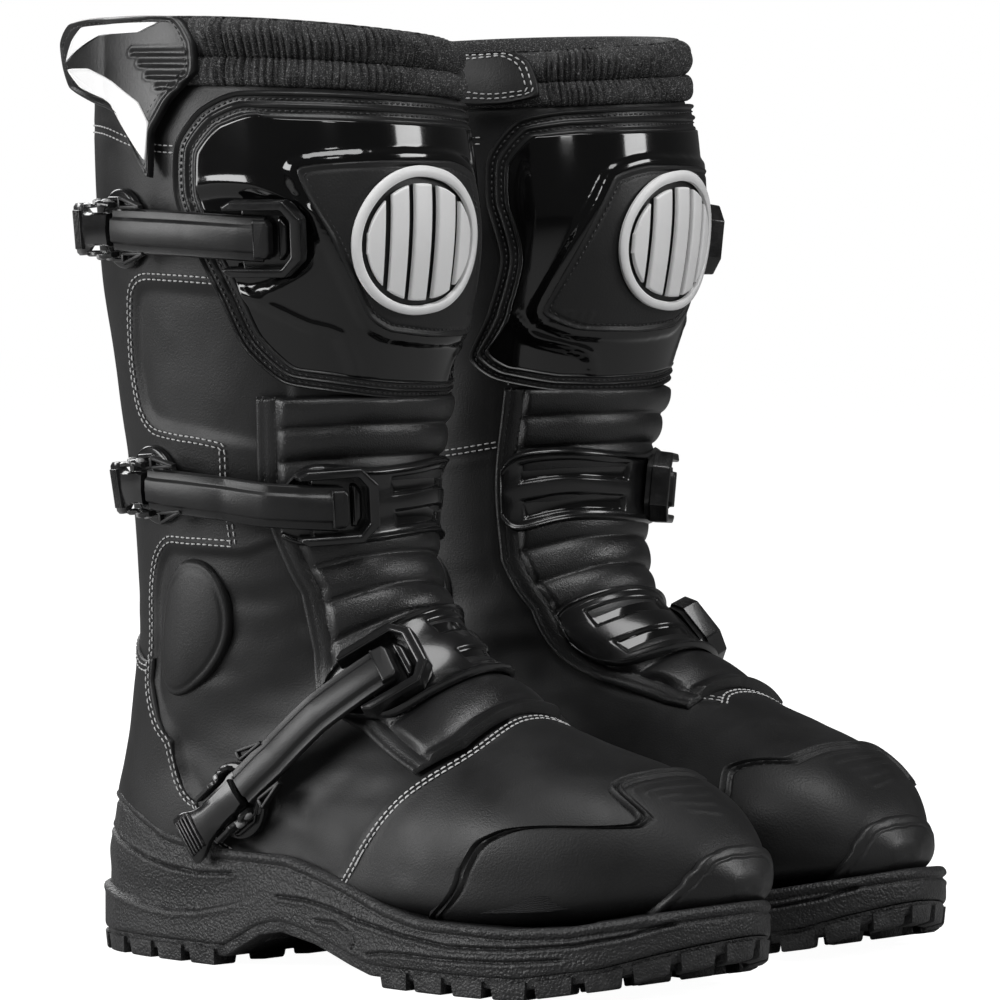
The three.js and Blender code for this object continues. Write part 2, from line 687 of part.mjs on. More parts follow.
const buckles = Object.fromEntries(Object.keys(BUCKLES).map((name) => [name, buckleParts(name)]));
const pieces = [
  ['outsole', outsole(), 'rubber'],
  ['midsole', midsole(), 'rubber'],
  ['toe_bumper', toeBumper(), 'rubber'],
  ['upper', upper(), 'leather'],
  ['lining', lining(), 'lining'],
  ['footbed', footbed(), 'lining'],
  ['cuff', cuff(), 'knit'],
  ['shin_padding', shinPadding(), 'leather'],
  ['heel_counter', heelCounter(), 'leather'],
  ['toe_cap', toeCap(), 'leather'],
  ['ankle_guard_outer', anklePad(1), 'leather'],
  ['ankle_guard_inner', anklePad(-1), 'leather'],
  ['closure_flap', closureFlap(), 'leather'],
  ['shin_frame', shinFrame(), 'rubber'],
  ['shin_plate', shinPlate(), 'gloss'],
  ['emblem_panel', emblemPanel(), 'plastic'],
  ['emblem', emblem(), 'white'],
  ['cuff_badge', cuffBadge(), 'rubber'],
];
for (const [name, parts] of Object.entries(buckles)) {
  pieces.push([`${name}_holder`, parts.holder, 'plastic']);
  pieces.push([`${name}_strap`, parts.strap, 'plastic']);
  pieces.push([`${name}_lever`, parts.lever, 'plastic']);
  pieces.push([`${name}_catch`, parts.catch, 'plastic']);
}

const boots = new THREE.Group();
boots.name = 'riding_boots';
for (const [side, sign] of [['right', -1], ['left', 1]]) {
  const boot = new THREE.Group();
  boot.name = `${side}_boot`;
  boot.scale.set(sign, 1, 1);
  boot.position.set(sign * SPACING / 2, sign > 0 ? SET_BACK : 0, 0);
  for (const [name, geometry, finish] of pieces) {
    const mesh = new THREE.Mesh(geometry, new THREE.MeshStandardMaterial(FINISHES[finish]));
    mesh.name = `${side}_${name}`;
    boot.add(mesh);
  }
  boots.add(boot);
}
boots.updateMatrixWorld(true);
const extent = new THREE.Box3().setFromObject(boots);
const centre = extent.getCenter(new THREE.Vector3());
for (const boot of boots.children) {
  boot.position.sub(new THREE.Vector3(centre.x, centre.y, extent.min.z));
}
boots.updateMatrixWorld(true);

export default boots;
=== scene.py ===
"""A pair of buckled riding boots: their visible surfaces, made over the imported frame."""

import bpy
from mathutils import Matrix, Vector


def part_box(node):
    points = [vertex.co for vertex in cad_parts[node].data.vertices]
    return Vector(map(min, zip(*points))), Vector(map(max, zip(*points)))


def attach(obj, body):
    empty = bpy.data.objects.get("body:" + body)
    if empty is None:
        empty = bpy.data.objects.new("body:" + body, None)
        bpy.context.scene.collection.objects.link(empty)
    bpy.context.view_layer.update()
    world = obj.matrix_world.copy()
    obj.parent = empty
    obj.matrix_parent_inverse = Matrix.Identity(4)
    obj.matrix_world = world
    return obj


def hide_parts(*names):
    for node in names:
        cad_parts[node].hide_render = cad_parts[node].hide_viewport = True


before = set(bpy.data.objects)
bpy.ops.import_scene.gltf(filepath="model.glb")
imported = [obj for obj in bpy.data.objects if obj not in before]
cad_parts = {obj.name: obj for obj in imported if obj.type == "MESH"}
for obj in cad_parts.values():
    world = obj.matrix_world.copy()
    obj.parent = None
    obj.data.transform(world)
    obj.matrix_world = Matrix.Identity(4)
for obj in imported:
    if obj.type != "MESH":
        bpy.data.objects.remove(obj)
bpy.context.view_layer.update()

import logging
import math
from dataclasses import dataclass, field
from enum import Enum
from typing import Callable, ClassVar, Optional, Sequence, Union

import bpy
import numpy as np
from mathutils import Vector
from mathutils.geometry import tessellate_polygon
from mathutils.kdtree import KDTree

log = logging.getLogger("boots")
Array = np.ndarray
Lift = Union[float, Array]
MM = 0.001
U_MM = 60.0            # rough length of one row
DEG_MM = 1.05          # rough width of one degree
MID_LENGTH = 155.0     # from the back of the boot to its y zero
EDGE_WALL = 0.2        # upright part of a pad's border
HALF_SOLE = 61.0       # from the boot's x zero to the outer side of its midsole
HEEL_REACH = 150.0     # from the boot's y zero to the back of its midsole
DUST_GREY = 0.105      # grey of the dust on every finish


# ------------------------------------------------------------------ small tools
def curve(table: Sequence[Sequence[float]], x: Lift) -> Array:
    """Value of a two-column table at x, held level beyond its ends."""
    rows = np.asarray(table, float)
    return np.interp(x, rows[:, 0], rows[:, 1])


def smooth(x: Array, low: float, high: float) -> Array:
    """Soft step from 0 at low to 1 at high."""
    t = np.clip((np.asarray(x, float) - low) / (high - low), 0.0, 1.0)
    return t * t * (3.0 - 2.0 * t)


def shoulder(distance: Array, radius: float) -> Array:
    """Quarter-round rise from 0 at an edge to 1 one radius inside it."""
    return np.sqrt(np.clip(1.0 - (1.0 - np.clip(distance / radius, 0.0, 1.0)) ** 2, 0.0, 1.0))


def ridge(far: Array, at: float, width: float, height: float) -> Array:
    """A rounded ridge of some height and width where far equals at."""
    return height * np.exp(-((far - at) / width) ** 2)


def unit(v: Array) -> Array:
    """Vectors scaled to length one."""
    return v / np.maximum(np.linalg.norm(v, axis=-1, keepdims=True), 1e-12)


def travelled(points: Array, axis: int = 0) -> Array:
    """Distance gone along one axis of rows of places."""
    gone = np.cumsum(np.linalg.norm(np.diff(points, axis=axis), axis=-1), axis=axis)
    return np.insert(gone, 0, 0.0, axis=axis)


def blended(values: Array, axis: int = 0) -> Array:
    """Values mixed with their neighbours on a closed ring."""
    return 0.25 * np.roll(values, 1, axis) + 0.5 * values + 0.25 * np.roll(values, -1, axis)


def calmed(height: Array, times: int) -> Array:
    """Heights of a grid mixed with their neighbours in both directions."""
    for _ in range(times):
        height = blended(height, 1)
        height[1:-1] = 0.25 * height[:-2] + 0.5 * height[1:-1] + 0.25 * height[2:]
    return height


def soft_noise(points: Array, scale: float, seed: int) -> Array:
    """Smooth value noise between -1 and 1.

    Args:
        points: Places in millimetres, shape (..., 3).
        scale: Size of one cell in millimetres.
        seed: Number that picks the pattern.

    Returns:
        One value for each place.
    """
    p = points / scale + 1000.0
    base = np.floor(p).astype(np.int64)
    t = p - base
    t = t * t * (3.0 - 2.0 * t)
    total = np.zeros(points.shape[:-1])
    for corner in range(8):
        step = np.array([corner & 1, (corner >> 1) & 1, (corner >> 2) & 1])
        mixed = seed * 2654435
        for k, prime in enumerate((73856093, 19349663, 83492791)):
            mixed = mixed ^ ((base + step)[..., k] * prime)
        for shift in (0, 7):
            mixed = ((mixed >> shift) * 1103515245 + 12345) & 0x7FFFFFFF
        value = (mixed % 20011) / 10005.5 - 1.0
        weight = np.prod(np.where(step == 1, t, 1.0 - t), axis=-1)
        total += value * weight
    return total


@dataclass
class Shell:
    """Points and faces of closed skins, in millimetres, in one boot's own frame."""

    points: Array
    quads: Array
    tris: Array
    tint: Array

    @classmethod
    def of(cls, points: Array, quads: Sequence = (), tris: Sequence = ()) -> "Shell":
        """A shell with its faces turned outward.

        Args:
            points: Places, shape (n, 3).
            quads: Four-sided faces.
            tris: Three-sided faces.

        Returns:
            The shell.
        """
        q = np.asarray(quads, np.int64).reshape(-1, 4)
        t = np.asarray(tris, np.int64).reshape(-1, 3)
        every = np.vstack([q[:, [0, 1, 2]], q[:, [0, 2, 3]], t])
        a, b, c = (points[every[:, k]] for k in range(3))
        if float(np.einsum("ij,ij->i", a, np.cross(b, c)).sum()) < 0.0:
            q, t = q[:, ::-1], t[:, ::-1]
        return cls(points, q, t, np.zeros(len(q) + len(t), np.int32))

    @staticmethod
    def join(parts: Sequence["Shell"]) -> "Shell":
        """Several shells as one."""
        points, quads, tris, tint_q, tint_t, base = [], [], [], [], [], 0
        for part in parts:
            points.append(part.points)
            quads.append(part.quads + base)
            tris.append(part.tris + base)
            tint_q.append(part.tint[:len(part.quads)])
            tint_t.append(part.tint[len(part.quads):])
            base += len(part.points)
        return Shell(np.vstack(points), np.vstack(quads), np.vstack(tris), np.concatenate(tint_q + tint_t))


def grid_quads(rows: int, columns: int, wrap: bool = False) -> Array:
    """Faces of a grid of points laid out row by row."""
    r = np.arange(rows - 1)[:, None]
    c = np.arange(columns if wrap else columns - 1)[None, :]
    n = (c + 1) % columns
    faces = np.stack([r * columns + c, r * columns + n, (r + 1) * columns + n, (r + 1) * columns + c], -1)
    return faces.reshape(-1, 4)


def lofted(rings: Sequence[Array], closed: bool = False) -> Shell:
    """Rings of equal length joined in order.

    Args:
        rings: Loops of points, each (n, 3).
        closed: Whether the last ring joins the first; otherwise both ends get a fan.

    Returns:
        A closed shell.
    """
    n = len(rings[0])
    points = np.vstack(rings)
    quads = grid_quads(len(rings), n, True)
    tris: list[list[int]] = []
    if closed:
        last = (len(rings) - 1) * n
        k = np.arange(n)
        quads = np.vstack([quads, np.stack([last + k, last + (k + 1) % n, (k + 1) % n, k], -1)])
    else:
        for base, forward in ((0, False), ((len(rings) - 1) * n, True)):
            points = np.vstack([points, points[base:base + n].mean(0)[None]])
            centre = len(points) - 1
            for k in range(n):
                a, b = base + k, base + (k + 1) % n
                tris.append([a, b, centre] if forward else [b, a, centre])
    return Shell.of(points, quads, tris)


def filled(rings: Sequence[Array], place: Callable[[Array], Array] = np.asarray) -> Shell:
    """Rings of equal length joined in order, their ends closed by filled outlines.

    Args:
        rings: Loops of points seen from above, each (n, 3).
        place: Moves the points to their place.

    Returns:
        A closed shell.
    """
    n = len(rings[0])
    tris = []
    for base, ring in ((0, rings[0]), ((len(rings) - 1) * n, rings[-1])):
        for tri in tessellate_polygon([[Vector((x, y, 0)) for x, y, _ in ring]]):
            tris.append([base + k for k in (tri if base else tri[::-1])])
    return Shell.of(place(np.vstack(rings)), grid_quads(len(rings), n, True), tris)


# ------------------------------------------------------------------ the body of a boot
@dataclass(frozen=True)
class BootForm:
    """The leather's outer face: u runs down the leg and along the foot, the angle runs round it."""

    # front y, front z, back y, back z, outer and inner half width, centre x, front and back
    # roundness, share of the depth in the front half
    sections: tuple = (
        (160, 358, 15, 360, 60, 58, 9, 2.2, 2.2, 0.50), (168, 290, 16, 290, 63, 61, 8, 2.3, 2.2, 0.50),
        (157, 228, 22, 225, 56, 54, 6, 2.3, 2.2, 0.50), (146, 185, 27, 175, 50, 49, 4, 2.3, 2.2, 0.50),
        (149, 157, 27, 122, 47, 46, 3, 2.2, 2.2, 0.50), (157, 141, 20, 80, 46, 45, 1, 2.1, 2.3, 0.52),
        (166, 131, 13, 50, 44, 43, 0, 2.0, 2.6, 0.55), (176, 123, 28, 29, 44, 42, 0, 2.0, 3.5, 0.60),
        (187, 115, 80, 28, 44, 42, 0, 2.0, 5.0, 0.66), (201, 107, 135, 27, 49, 44, 1, 2.0, 5.0, 0.70),
        (220, 98, 185, 25, 55, 48, 1, 2.1, 5.0, 0.70), (243, 90, 230, 25, 56, 49, -1, 2.2, 5.0, 0.68),
        (266, 83, 263, 28, 49, 45, -4, 2.3, 4.5, 0.66), (286, 74, 287, 32, 37, 34, -7, 2.4, 4.0, 0.64),
        (301, 60, 302, 36, 22, 21, -9, 2.4, 3.5, 0.62), (308, 46, 308, 40, 7, 7, -10, 2.4, 3.0, 0.60),)
    outer_rise: float = 5.0
    collar: float = 0.43

    def point(self, u: Array, a: Array) -> Array:
        """Places on the leather for rows u and angles a in degrees."""
        u, a = np.broadcast_arrays(np.asarray(u, float), np.asarray(a, float))
        table = np.asarray(self.sections, float)
        last = len(table) - 1
        w = np.clip(u, 0.0, last)
        i = np.minimum(last - 1, np.floor(w).astype(int))
        t = (w - i)[..., None]
        p0, p1, p2, p3 = (table[np.clip(i + k, 0, last)] for k in (-1, 0, 1, 2))
        s = 0.5 * (2 * p1 + (p2 - p0) * t + (2 * p0 - 5 * p1 + 4 * p2 - p3) * t * t
                   + (3 * p1 - p0 - 3 * p2 + p3) * t ** 3)
        fy, fz, by, bz, outer, inner, cx, front, back, share = np.moveaxis(s, -1, 0)
        c, q = np.cos(np.radians(a)), np.sin(np.radians(a))
        power = 2.0 / np.where(c >= 0, front, back)
        depth = np.abs(c) ** power
        tau = np.where(c >= 0, share * (1 - depth), share + (1 - share) * depth)
        width = np.abs(q) ** power * np.where(q >= 0, outer, inner)
        rise = self.outer_rise * q * np.maximum(0.0, 1.0 - u)
        return np.stack([cx + np.sign(q) * width, MID_LENGTH - (fy + (by - fy) * tau),
                         fz + (bz - fz) * tau + rise], -1)

    def slopes(self, u: Array, a: Array) -> tuple[Array, Array, Array]:
        """Change of place for one row, for one degree, and the outward normal."""
        h, last = 0.02, len(self.sections) - 1
        high, low = np.minimum(last, np.asarray(u) + h), np.maximum(0, np.asarray(u) - h)
        along = (self.point(high, a) - self.point(low, a)) / (high - low)[..., None]
        around = (self.point(u, np.asarray(a) + 1.0) - self.point(u, np.asarray(a) - 1.0)) / 2.0
        return along, around, unit(np.cross(along, around))

    def skin(self, u: Array, a: Array, lift: Lift = 0.0) -> Array:
        """Places at a height above the leather."""
        u, a = np.broadcast_arrays(np.asarray(u, float), np.asarray(a, float))
        return self.point(u, a) + self.slopes(u, a)[2] * np.broadcast_to(lift, u.shape)[..., None]


FORM = BootForm()


@dataclass
class Track:
    """A line drawn on the leather, evenly spaced."""

    u: Array
    a: Array
    closed: bool = False

    @classmethod
    def through(cls, corners: Sequence[Sequence[float]], closed: bool = False, tension: float = 0.5,
                step: float = 0.8, count: int = 0) -> "Track":
        """A smooth line through corners.

        Args:
            corners: Rows of u and angle.
            closed: Whether the line returns to its start.
            tension: How far corners are rounded.
            step: Spacing in millimetres.
            count: Number of places, where it is fixed.

        Returns:
            The line.
        """
        flat = np.asarray(corners, float) * [U_MM, DEG_MM]
        n = len(flat)
        spans = n if closed else n - 1
        t = np.linspace(0, 1, 24, endpoint=False)[:, None]
        pieces = []
        for k in range(spans):
            steps = (k - 1, k, k + 1, k + 2)
            p0, p1, p2, p3 = (flat[j % n if closed else min(max(j, 0), n - 1)] for j in steps)
            m1, m2 = tension * (p2 - p0), tension * (p3 - p1)
            pieces.append(p1 + m1 * t + (3 * (p2 - p1) - 2 * m1 - m2) * t ** 2 + (2 * (p1 - p2) + m1 + m2) * t ** 3)
        path = np.vstack(pieces + ([] if closed else [flat[-1:]]))
        return cls(path[:, 0] / U_MM, path[:, 1] / DEG_MM, closed).even(step, count)

    def even(self, step: float = 0.8, count: int = 0) -> "Track":
        """The same line with even spacing."""
        u, a = self.u, self.a
        if self.closed:
            u, a = np.append(u, u[0]), np.append(a, a[0])
        gone = travelled(FORM.point(u, a))
        n = count or max(3, int(round(gone[-1] / step)) + (0 if self.closed else 1))
        at = np.linspace(0, gone[-1], n, endpoint=not self.closed)
        return Track(np.interp(at, gone, u), np.interp(at, gone, a), self.closed)

    def frames(self, lift: Lift = 0.0) -> tuple[Array, Array, Array, Array]:
        """Places, directions along, sideways and outward."""
        p = FORM.skin(self.u, self.a, lift)
        normal = FORM.slopes(self.u, self.a)[2]
        if self.closed:
            t = np.roll(p, -1, 0) - np.roll(p, 1, 0)
        else:
            t = np.gradient(p, axis=0)
        t = unit(t - normal * np.einsum("ij,ij->i", t, normal)[:, None])
        return p, t, np.cross(normal, t), normal

    def shifted(self, distance: Lift, smoothing: int = 2) -> "Track":
        """The line moved sideways over the leather by a distance in millimetres."""
        side = self.frames()[2] * np.broadcast_to(distance, self.u.shape)[:, None]
        along, around, _ = FORM.slopes(self.u, self.a)
        aa, bb, ab = (np.einsum("ij,ij->i", x, y) for x, y in ((along, along), (around, around), (along, around)))
        sa, sb = np.einsum("ij,ij->i", side, along), np.einsum("ij,ij->i", side, around)
        det = np.maximum(aa * bb - ab * ab, 1e-9)
        u, a = self.u + (sa * bb - sb * ab) / det, self.a + (sb * aa - sa * ab) / det
        for _ in range(smoothing):
            if self.closed:
                u, a = blended(u), blended(a)
        return Track(u, a, self.closed)

    def inward(self, distance: Lift) -> "Track":
        """A closed line moved towards its own middle, without crossing itself."""
        flat = np.stack([self.u * U_MM, self.a * DEG_MM], -1)
        centre = flat.mean(0)
        to_middle = unit(centre - flat)
        tangent = unit(np.roll(flat, -1, 0) - np.roll(flat, 1, 0))
        normal = np.stack([-tangent[:, 1], tangent[:, 0]], -1)
        facing = np.abs(np.einsum("ij,ij->i", normal, to_middle))
        moved = flat + to_middle * (np.broadcast_to(distance, self.u.shape) / np.maximum(facing, 0.62))[:, None]
        return Track(moved[:, 0] / U_MM, moved[:, 1] / DEG_MM, True)

    def holds(self, u: Array, a: Array) -> Array:
        """Whether places lie inside a closed line."""
        x, y = self.u, self.a
        inside = np.zeros(np.shape(u), bool)
        for k in range(len(x)):
            x0, y0, x1, y1 = x[k], y[k], x[(k + 1) % len(x)], y[(k + 1) % len(x)]
            if y0 == y1:
                continue
            crosses = ((y0 > a) != (y1 > a)) & (u < (x1 - x0) * (a - y0) / (y1 - y0) + x0)
            inside ^= crosses
        return inside

    def depth(self, u: Array, a: Array, points: Array, reach: float = 6.0) -> Array:
        """Distance inside a closed line, negative outside it, no more than reach."""
        return np.where(self.holds(u, a), 1, -1) * self.distance(points, reach)

    def distance(self, points: Array, reach: float = 6.0) -> Array:
        """Distance of places from the line, in millimetres, no more than reach."""
        line = FORM.point(self.u, self.a)
        flat = points.reshape(-1, 3)
        low, high = line.min(0) - reach, line.max(0) + reach
        near = np.where(np.all((flat > low) & (flat < high), axis=1))[0]
        found = np.full(len(flat), reach)
        if not len(near):
            return found.reshape(points.shape[:-1])
        tree = KDTree(len(line))
        for k, p in enumerate(line):
            tree.insert(Vector(p), k)
        tree.balance()
        nearest = np.array([tree.find(Vector(flat[k]))[1] for k in near])
        here, best = flat[near], np.full(len(near), reach)
        for step in (-1, 1):
            other = (nearest + step) % len(line) if self.closed else np.clip(nearest + step, 0, len(line) - 1)
            span = line[other] - line[nearest]
            size = np.maximum(np.einsum("ij,ij->i", span, span), 1e-9)
            share = np.clip(np.einsum("ij,ij->i", here - line[nearest], span) / size, 0, 1)
            best = np.minimum(best, np.linalg.norm(here - line[nearest] - span * share[:, None], axis=1))
        found[near] = best
        return found.reshape(points.shape[:-1])


# ------------------------------------------------------------------ ways of making pieces
def slab(u: Array, a: Array, low: Lift, high: Lift, radius: float = 1.0, thin: float = 0.25) -> Shell:
    """A piece of skin with rounded borders.

    Args:
        u: Rows of the grid, shape (rows, columns).
        a: Angles of the grid.
        low: Height of its underside.
        high: Height of its face.
        radius: Roundness of the borders.
        thin: Height of the border's wall.

    Returns:
        A closed shell.
    """
    base = FORM.point(u, a)
    far = np.full(u.shape, 1e6)
    for axis in (0, 1):
        gone = travelled(base, axis)
        far = np.minimum(far, np.minimum(gone, np.take(gone, [-1], axis=axis) - gone))
    rows, columns = u.shape
    low = np.broadcast_to(low, u.shape)
    rise = low + thin + (high - low - thin) * shoulder(far, radius)
    top, bottom = FORM.skin(u, a, rise).reshape(-1, 3), FORM.skin(u, a, low).reshape(-1, 3)
    faces = grid_quads(rows, columns)
    n = rows * columns
    rim = np.concatenate([np.arange(columns), np.arange(1, rows) * columns + columns - 1,
                          (rows - 1) * columns + np.arange(columns - 2, -1, -1),
                          np.arange(rows - 2, 0, -1) * columns])
    after = np.roll(rim, -1)
    walls = np.stack([after, rim, rim + n, after + n], -1)
    return Shell.of(np.vstack([top, bottom]), np.vstack([faces, faces[:, ::-1] + n, walls]))


def even_grid(path: Callable[[float, Array], tuple[Array, Array]], rows: Array, columns: int,
              guide: Array) -> tuple[Array, Array]:
    """A grid whose columns are evenly spaced along each row.

    Args:
        path: Gives u and angle for a row value and guide values.
        rows: Row values from 0 to 1.
        columns: Number of columns.
        guide: Dense guide values along a row.

    Returns:
        The grid's u and angle.
    """
    all_u, all_a = [], []
    for t in rows:
        u, a = path(t, guide)
        gone = travelled(FORM.point(u, a))
        at = np.linspace(0.0, gone[-1], columns)
        all_u.append(np.interp(at, gone, u))
        all_a.append(np.interp(at, gone, a))
    return np.array(all_u), np.array(all_a)


def dense_angles(low: float = -180.0, high: float = 180.0) -> Array:
    """Angles from low to high, crowded where the foot's side turns under."""
    turn = 90.0 + np.degrees(np.arcsin(np.linspace(0, 1, 60) ** 2.5))
    every = np.concatenate([np.arange(-180, 180.5, 0.75), turn, -turn])
    return np.unique(np.clip(every, low, high))


def eased(count: int, edge: float = 0.006) -> Array:
    """Values from 0 to 1, crowded near both ends."""
    fine = np.array([0.0, edge * 0.35, edge])
    return np.concatenate([fine, np.linspace(edge * 2, 1 - edge * 2, count), 1 - fine[::-1]])


def pad(loop: Track, low: Union[float, Callable[[Array, Array], Array]],
        face: Callable[[Array, Array, Array], Array], radius: float = 1.0, rings: int = 26,
        soft: int = 2) -> Shell:
    """A piece inside a closed line.

    Args:
        loop: Its border.
        low: Height of its underside, or a way to get it from rows and angles.
        face: Gives the height of its face from u, angle and the distance from the border.
        radius: Roundness of the border.
        rings: Number of rings between border and middle.
        soft: How often the face's height is blended with its neighbours.

    Returns:
        A closed shell.
    """
    flat = np.stack([loop.u * U_MM, loop.a * DEG_MM], -1)
    centre = flat.mean(0)
    edge = FORM.point(loop.u, loop.a)
    size = float(np.median(np.linalg.norm(edge - FORM.point(centre[0] / U_MM, centre[1] / DEG_MM), axis=1)))
    steps = np.array([0, 0.12, 0.35, 0.7, 1.1, 1.6, 2.2]) * radius
    shares = np.unique(np.concatenate([1 - steps[steps < size * 0.5] / size,
                                       np.linspace(1 - min(0.45, 2.8 * radius / size), 0.03, rings)]))[::-1]
    place = centre + (flat - centre)[None] * shares[:, None, None]
    u, a = place[..., 0] / U_MM, place[..., 1] / DEG_MM
    far = np.linalg.norm(FORM.point(u, a) - edge, axis=-1)
    base = np.broadcast_to(low(u, a) if callable(low) else low, u.shape)
    height = calmed(face(u, a, far), soft)
    height = base + EDGE_WALL + (height - base - EDGE_WALL) * shoulder(far, radius)
    tops, bottoms = FORM.skin(u, a, height), FORM.skin(u, a, base)
    return lofted(list(tops[::-1]) + [bottoms[0], bottoms[len(bottoms) // 2], bottoms[-1]])


def band(outer: Track, inner: Track, low: float, profile: Sequence[Sequence[float]]) -> Shell:
    """A frame between two closed lines with equal counts.

    Args:
        outer: Its outer border.
        inner: Its inner border.
        low: Height of its underside.
        profile: Rows of share across and height.

    Returns:
        A closed shell.
    """
    rings = []
    for share, height in profile:
        u, a = outer.u + (inner.u - outer.u) * share, outer.a + (inner.a - outer.a) * share
        rings.append(FORM.skin(u, a, height))
    rings += [FORM.skin(inner.u, inner.a, low), FORM.skin(outer.u, outer.a, low)]
    return lofted(rings, closed=True)


def stitches(track: Track, offset: float = 0.0, lift: Union[Lift, Callable[[Array, Array], Array]] = 0.1,
             pitch: float = 3.0, length: float = 2.1, width: float = 0.62, height: float = 0.5) -> Shell:
    """A row of thread stitches beside a line.

    Args:
        track: The line.
        offset: Distance beside it.
        lift: Height of the thread's middle above the leather, or a way to get it from rows and angles.
        pitch: Spacing of the stitches.
        length: Length of one stitch.
        width: Thickness of the thread across.
        height: Thickness of the thread outward.

    Returns:
        The stitches as one shell.
    """
    line = (track.shifted(offset) if offset else track).even(pitch)
    p, t, b, n = line.frames(lift(line.u, line.a) if callable(lift) else lift)
    turn = np.linspace(0, 2 * math.pi, 6, endpoint=False)
    rings, half = [], length / 2
    for x, r, sink in ((-1, 0.35, -0.25), (-0.72, 0.85, 0), (0, 1, 0.12), (0.72, 0.85, 0), (1, 0.35, -0.25)):
        rings.append(np.stack([np.full(6, x * half), np.cos(turn) * r * width / 2,
                               np.sin(turn) * r * height / 2 + sink * height], -1))
    model = lofted(rings)
    m = model.points
    points = (p[:, None] + t[:, None] * m[None, :, :1] + b[:, None] * m[None, :, 1:2] + n[:, None] * m[None, :, 2:])
    base = (np.arange(len(p)) * len(m))[:, None, None]
    quads = (model.quads[None] + base).reshape(-1, 4)
    tris = (model.tris[None] + base).reshape(-1, 3)
    return Shell(points.reshape(-1, 3), quads, tris, np.zeros(len(quads) + len(tris), np.int32))


@dataclass
class Seat:
    """A flat place on the leather: t runs with the strap, b across it, n outward."""

    p: Array
    t: Array
    b: Array
    n: Array

    @classmethod
    def on(cls, u: float, a: float, row_step: float = 0.0) -> "Seat":
        """The seat at one row and angle."""
        n = FORM.slopes(np.array(u), np.array(a))[2]
        t = FORM.point(u + row_step, a + 4.0) - FORM.point(u - row_step, a - 4.0)
        t = unit(t - n * float(t @ n))
        return cls(FORM.point(u, a), t, unit(np.cross(n, t)), n)

    def place(self, local: Array) -> Array:
        """Places from local t, b, n distances."""
        return self.p + local[..., :1] * self.t + local[..., 1:2] * self.b + local[..., 2:3] * self.n

    def block(self, corners: Sequence[Sequence[float]], low: float, high: float, bevel: float = 0.7,
              corner: float = 0.0, draft: float = 0.0) -> Shell:
        """A plate cut to a polygon, with rounded upper edges.

        Args:
            corners: Its outline.
            low: Height of its underside.
            high: Height of its face.
            bevel: Roundness of its edges.
            corner: Rounding of the outline's corners.
            draft: How much the outline shrinks from bottom to top.

        Returns:
            A closed shell.
        """
        outline = rounded_outline(np.asarray(corners, float), corner)
        steps = [(0.0, low)]
        for k in range(4):
            swing = math.pi / 2 * k / 3
            steps.append((draft + bevel * (1 - math.cos(swing)), high - bevel + bevel * math.sin(swing)))
        rings = []
        for inset, z in steps:
            loop = inset_outline(outline, inset)
            rings.append(np.column_stack([loop, np.full(len(loop), z)]))
        return filled(rings, self.place)


def rounded_outline(corners: Array, radius: float) -> Array:
    """An outline whose corners are rounded by short arcs."""
    if radius <= 0:
        return corners
    out = []
    n = len(corners)
    for k in range(n):
        before, here, after = corners[k - 1], corners[k], corners[(k + 1) % n]
        r1 = min(radius, 0.45 * np.linalg.norm(before - here))
        r2 = min(radius, 0.45 * np.linalg.norm(after - here))
        start, end = here + unit(before - here) * r1, here + unit(after - here) * r2
        for s in np.linspace(0, 1, 5):
            out.append((1 - s) ** 2 * start + 2 * s * (1 - s) * here + s * s * end)
    return np.array(out)


def inset_outline(loop: Array, distance: float) -> Array:
    """A polygon's outline moved inward along its corner bisectors."""
    if distance == 0:
        return loop
    after, before = np.roll(loop, -1, 0), np.roll(loop, 1, 0)
    area = float(np.sum(loop[:, 0] * after[:, 1] - after[:, 0] * loop[:, 1]))
    d1, d2 = unit(loop - before), unit(after - loop)
    n1, n2 = (np.stack([-d[:, 1], d[:, 0]], -1) * math.copysign(1, area) for d in (d1, d2))
    bis = unit(n1 + n2)
    reach = distance / np.maximum(0.45, np.einsum("ij,ij->i", bis, n1))
    return loop + bis * reach[:, None]


def bar(stations: Sequence[Sequence[float]], section: Sequence[Sequence[float]]) -> Shell:
    """A strap-like bar following the leather.

    Args:
        stations: Rows of u, angle, width, low and high.
        section: Rows of share of the half width and share of the thickness.

    Returns:
        A closed shell.
    """
    s = np.asarray(stations, float)
    p, _, _, n = Track(s[:, 0], s[:, 1]).frames()
    t = np.gradient(p, axis=0)
    t = unit(t - n * np.einsum("ij,ij->i", t, n)[:, None])
    b = np.cross(n, t)
    rings = []
    for k in range(len(s)):
        width, low, high = s[k, 2:5]
        shape = np.asarray(section, float)
        rings.append(p[k] + b[k] * (shape[:, :1] * width / 2) + n[k] * (low + (high - low) * shape[:, 1:2]))
    return lofted(rings)


# ------------------------------------------------------------------ finishes
class Slot(Enum):
    """Finishes named in the record."""

    LEATHER = "leather"
    LINING = "lining"
    KNIT = "knit"
    GLOSS = "gloss"
    PLASTIC = "plastic"
    RUBBER = "rubber"
    WHITE = "white"


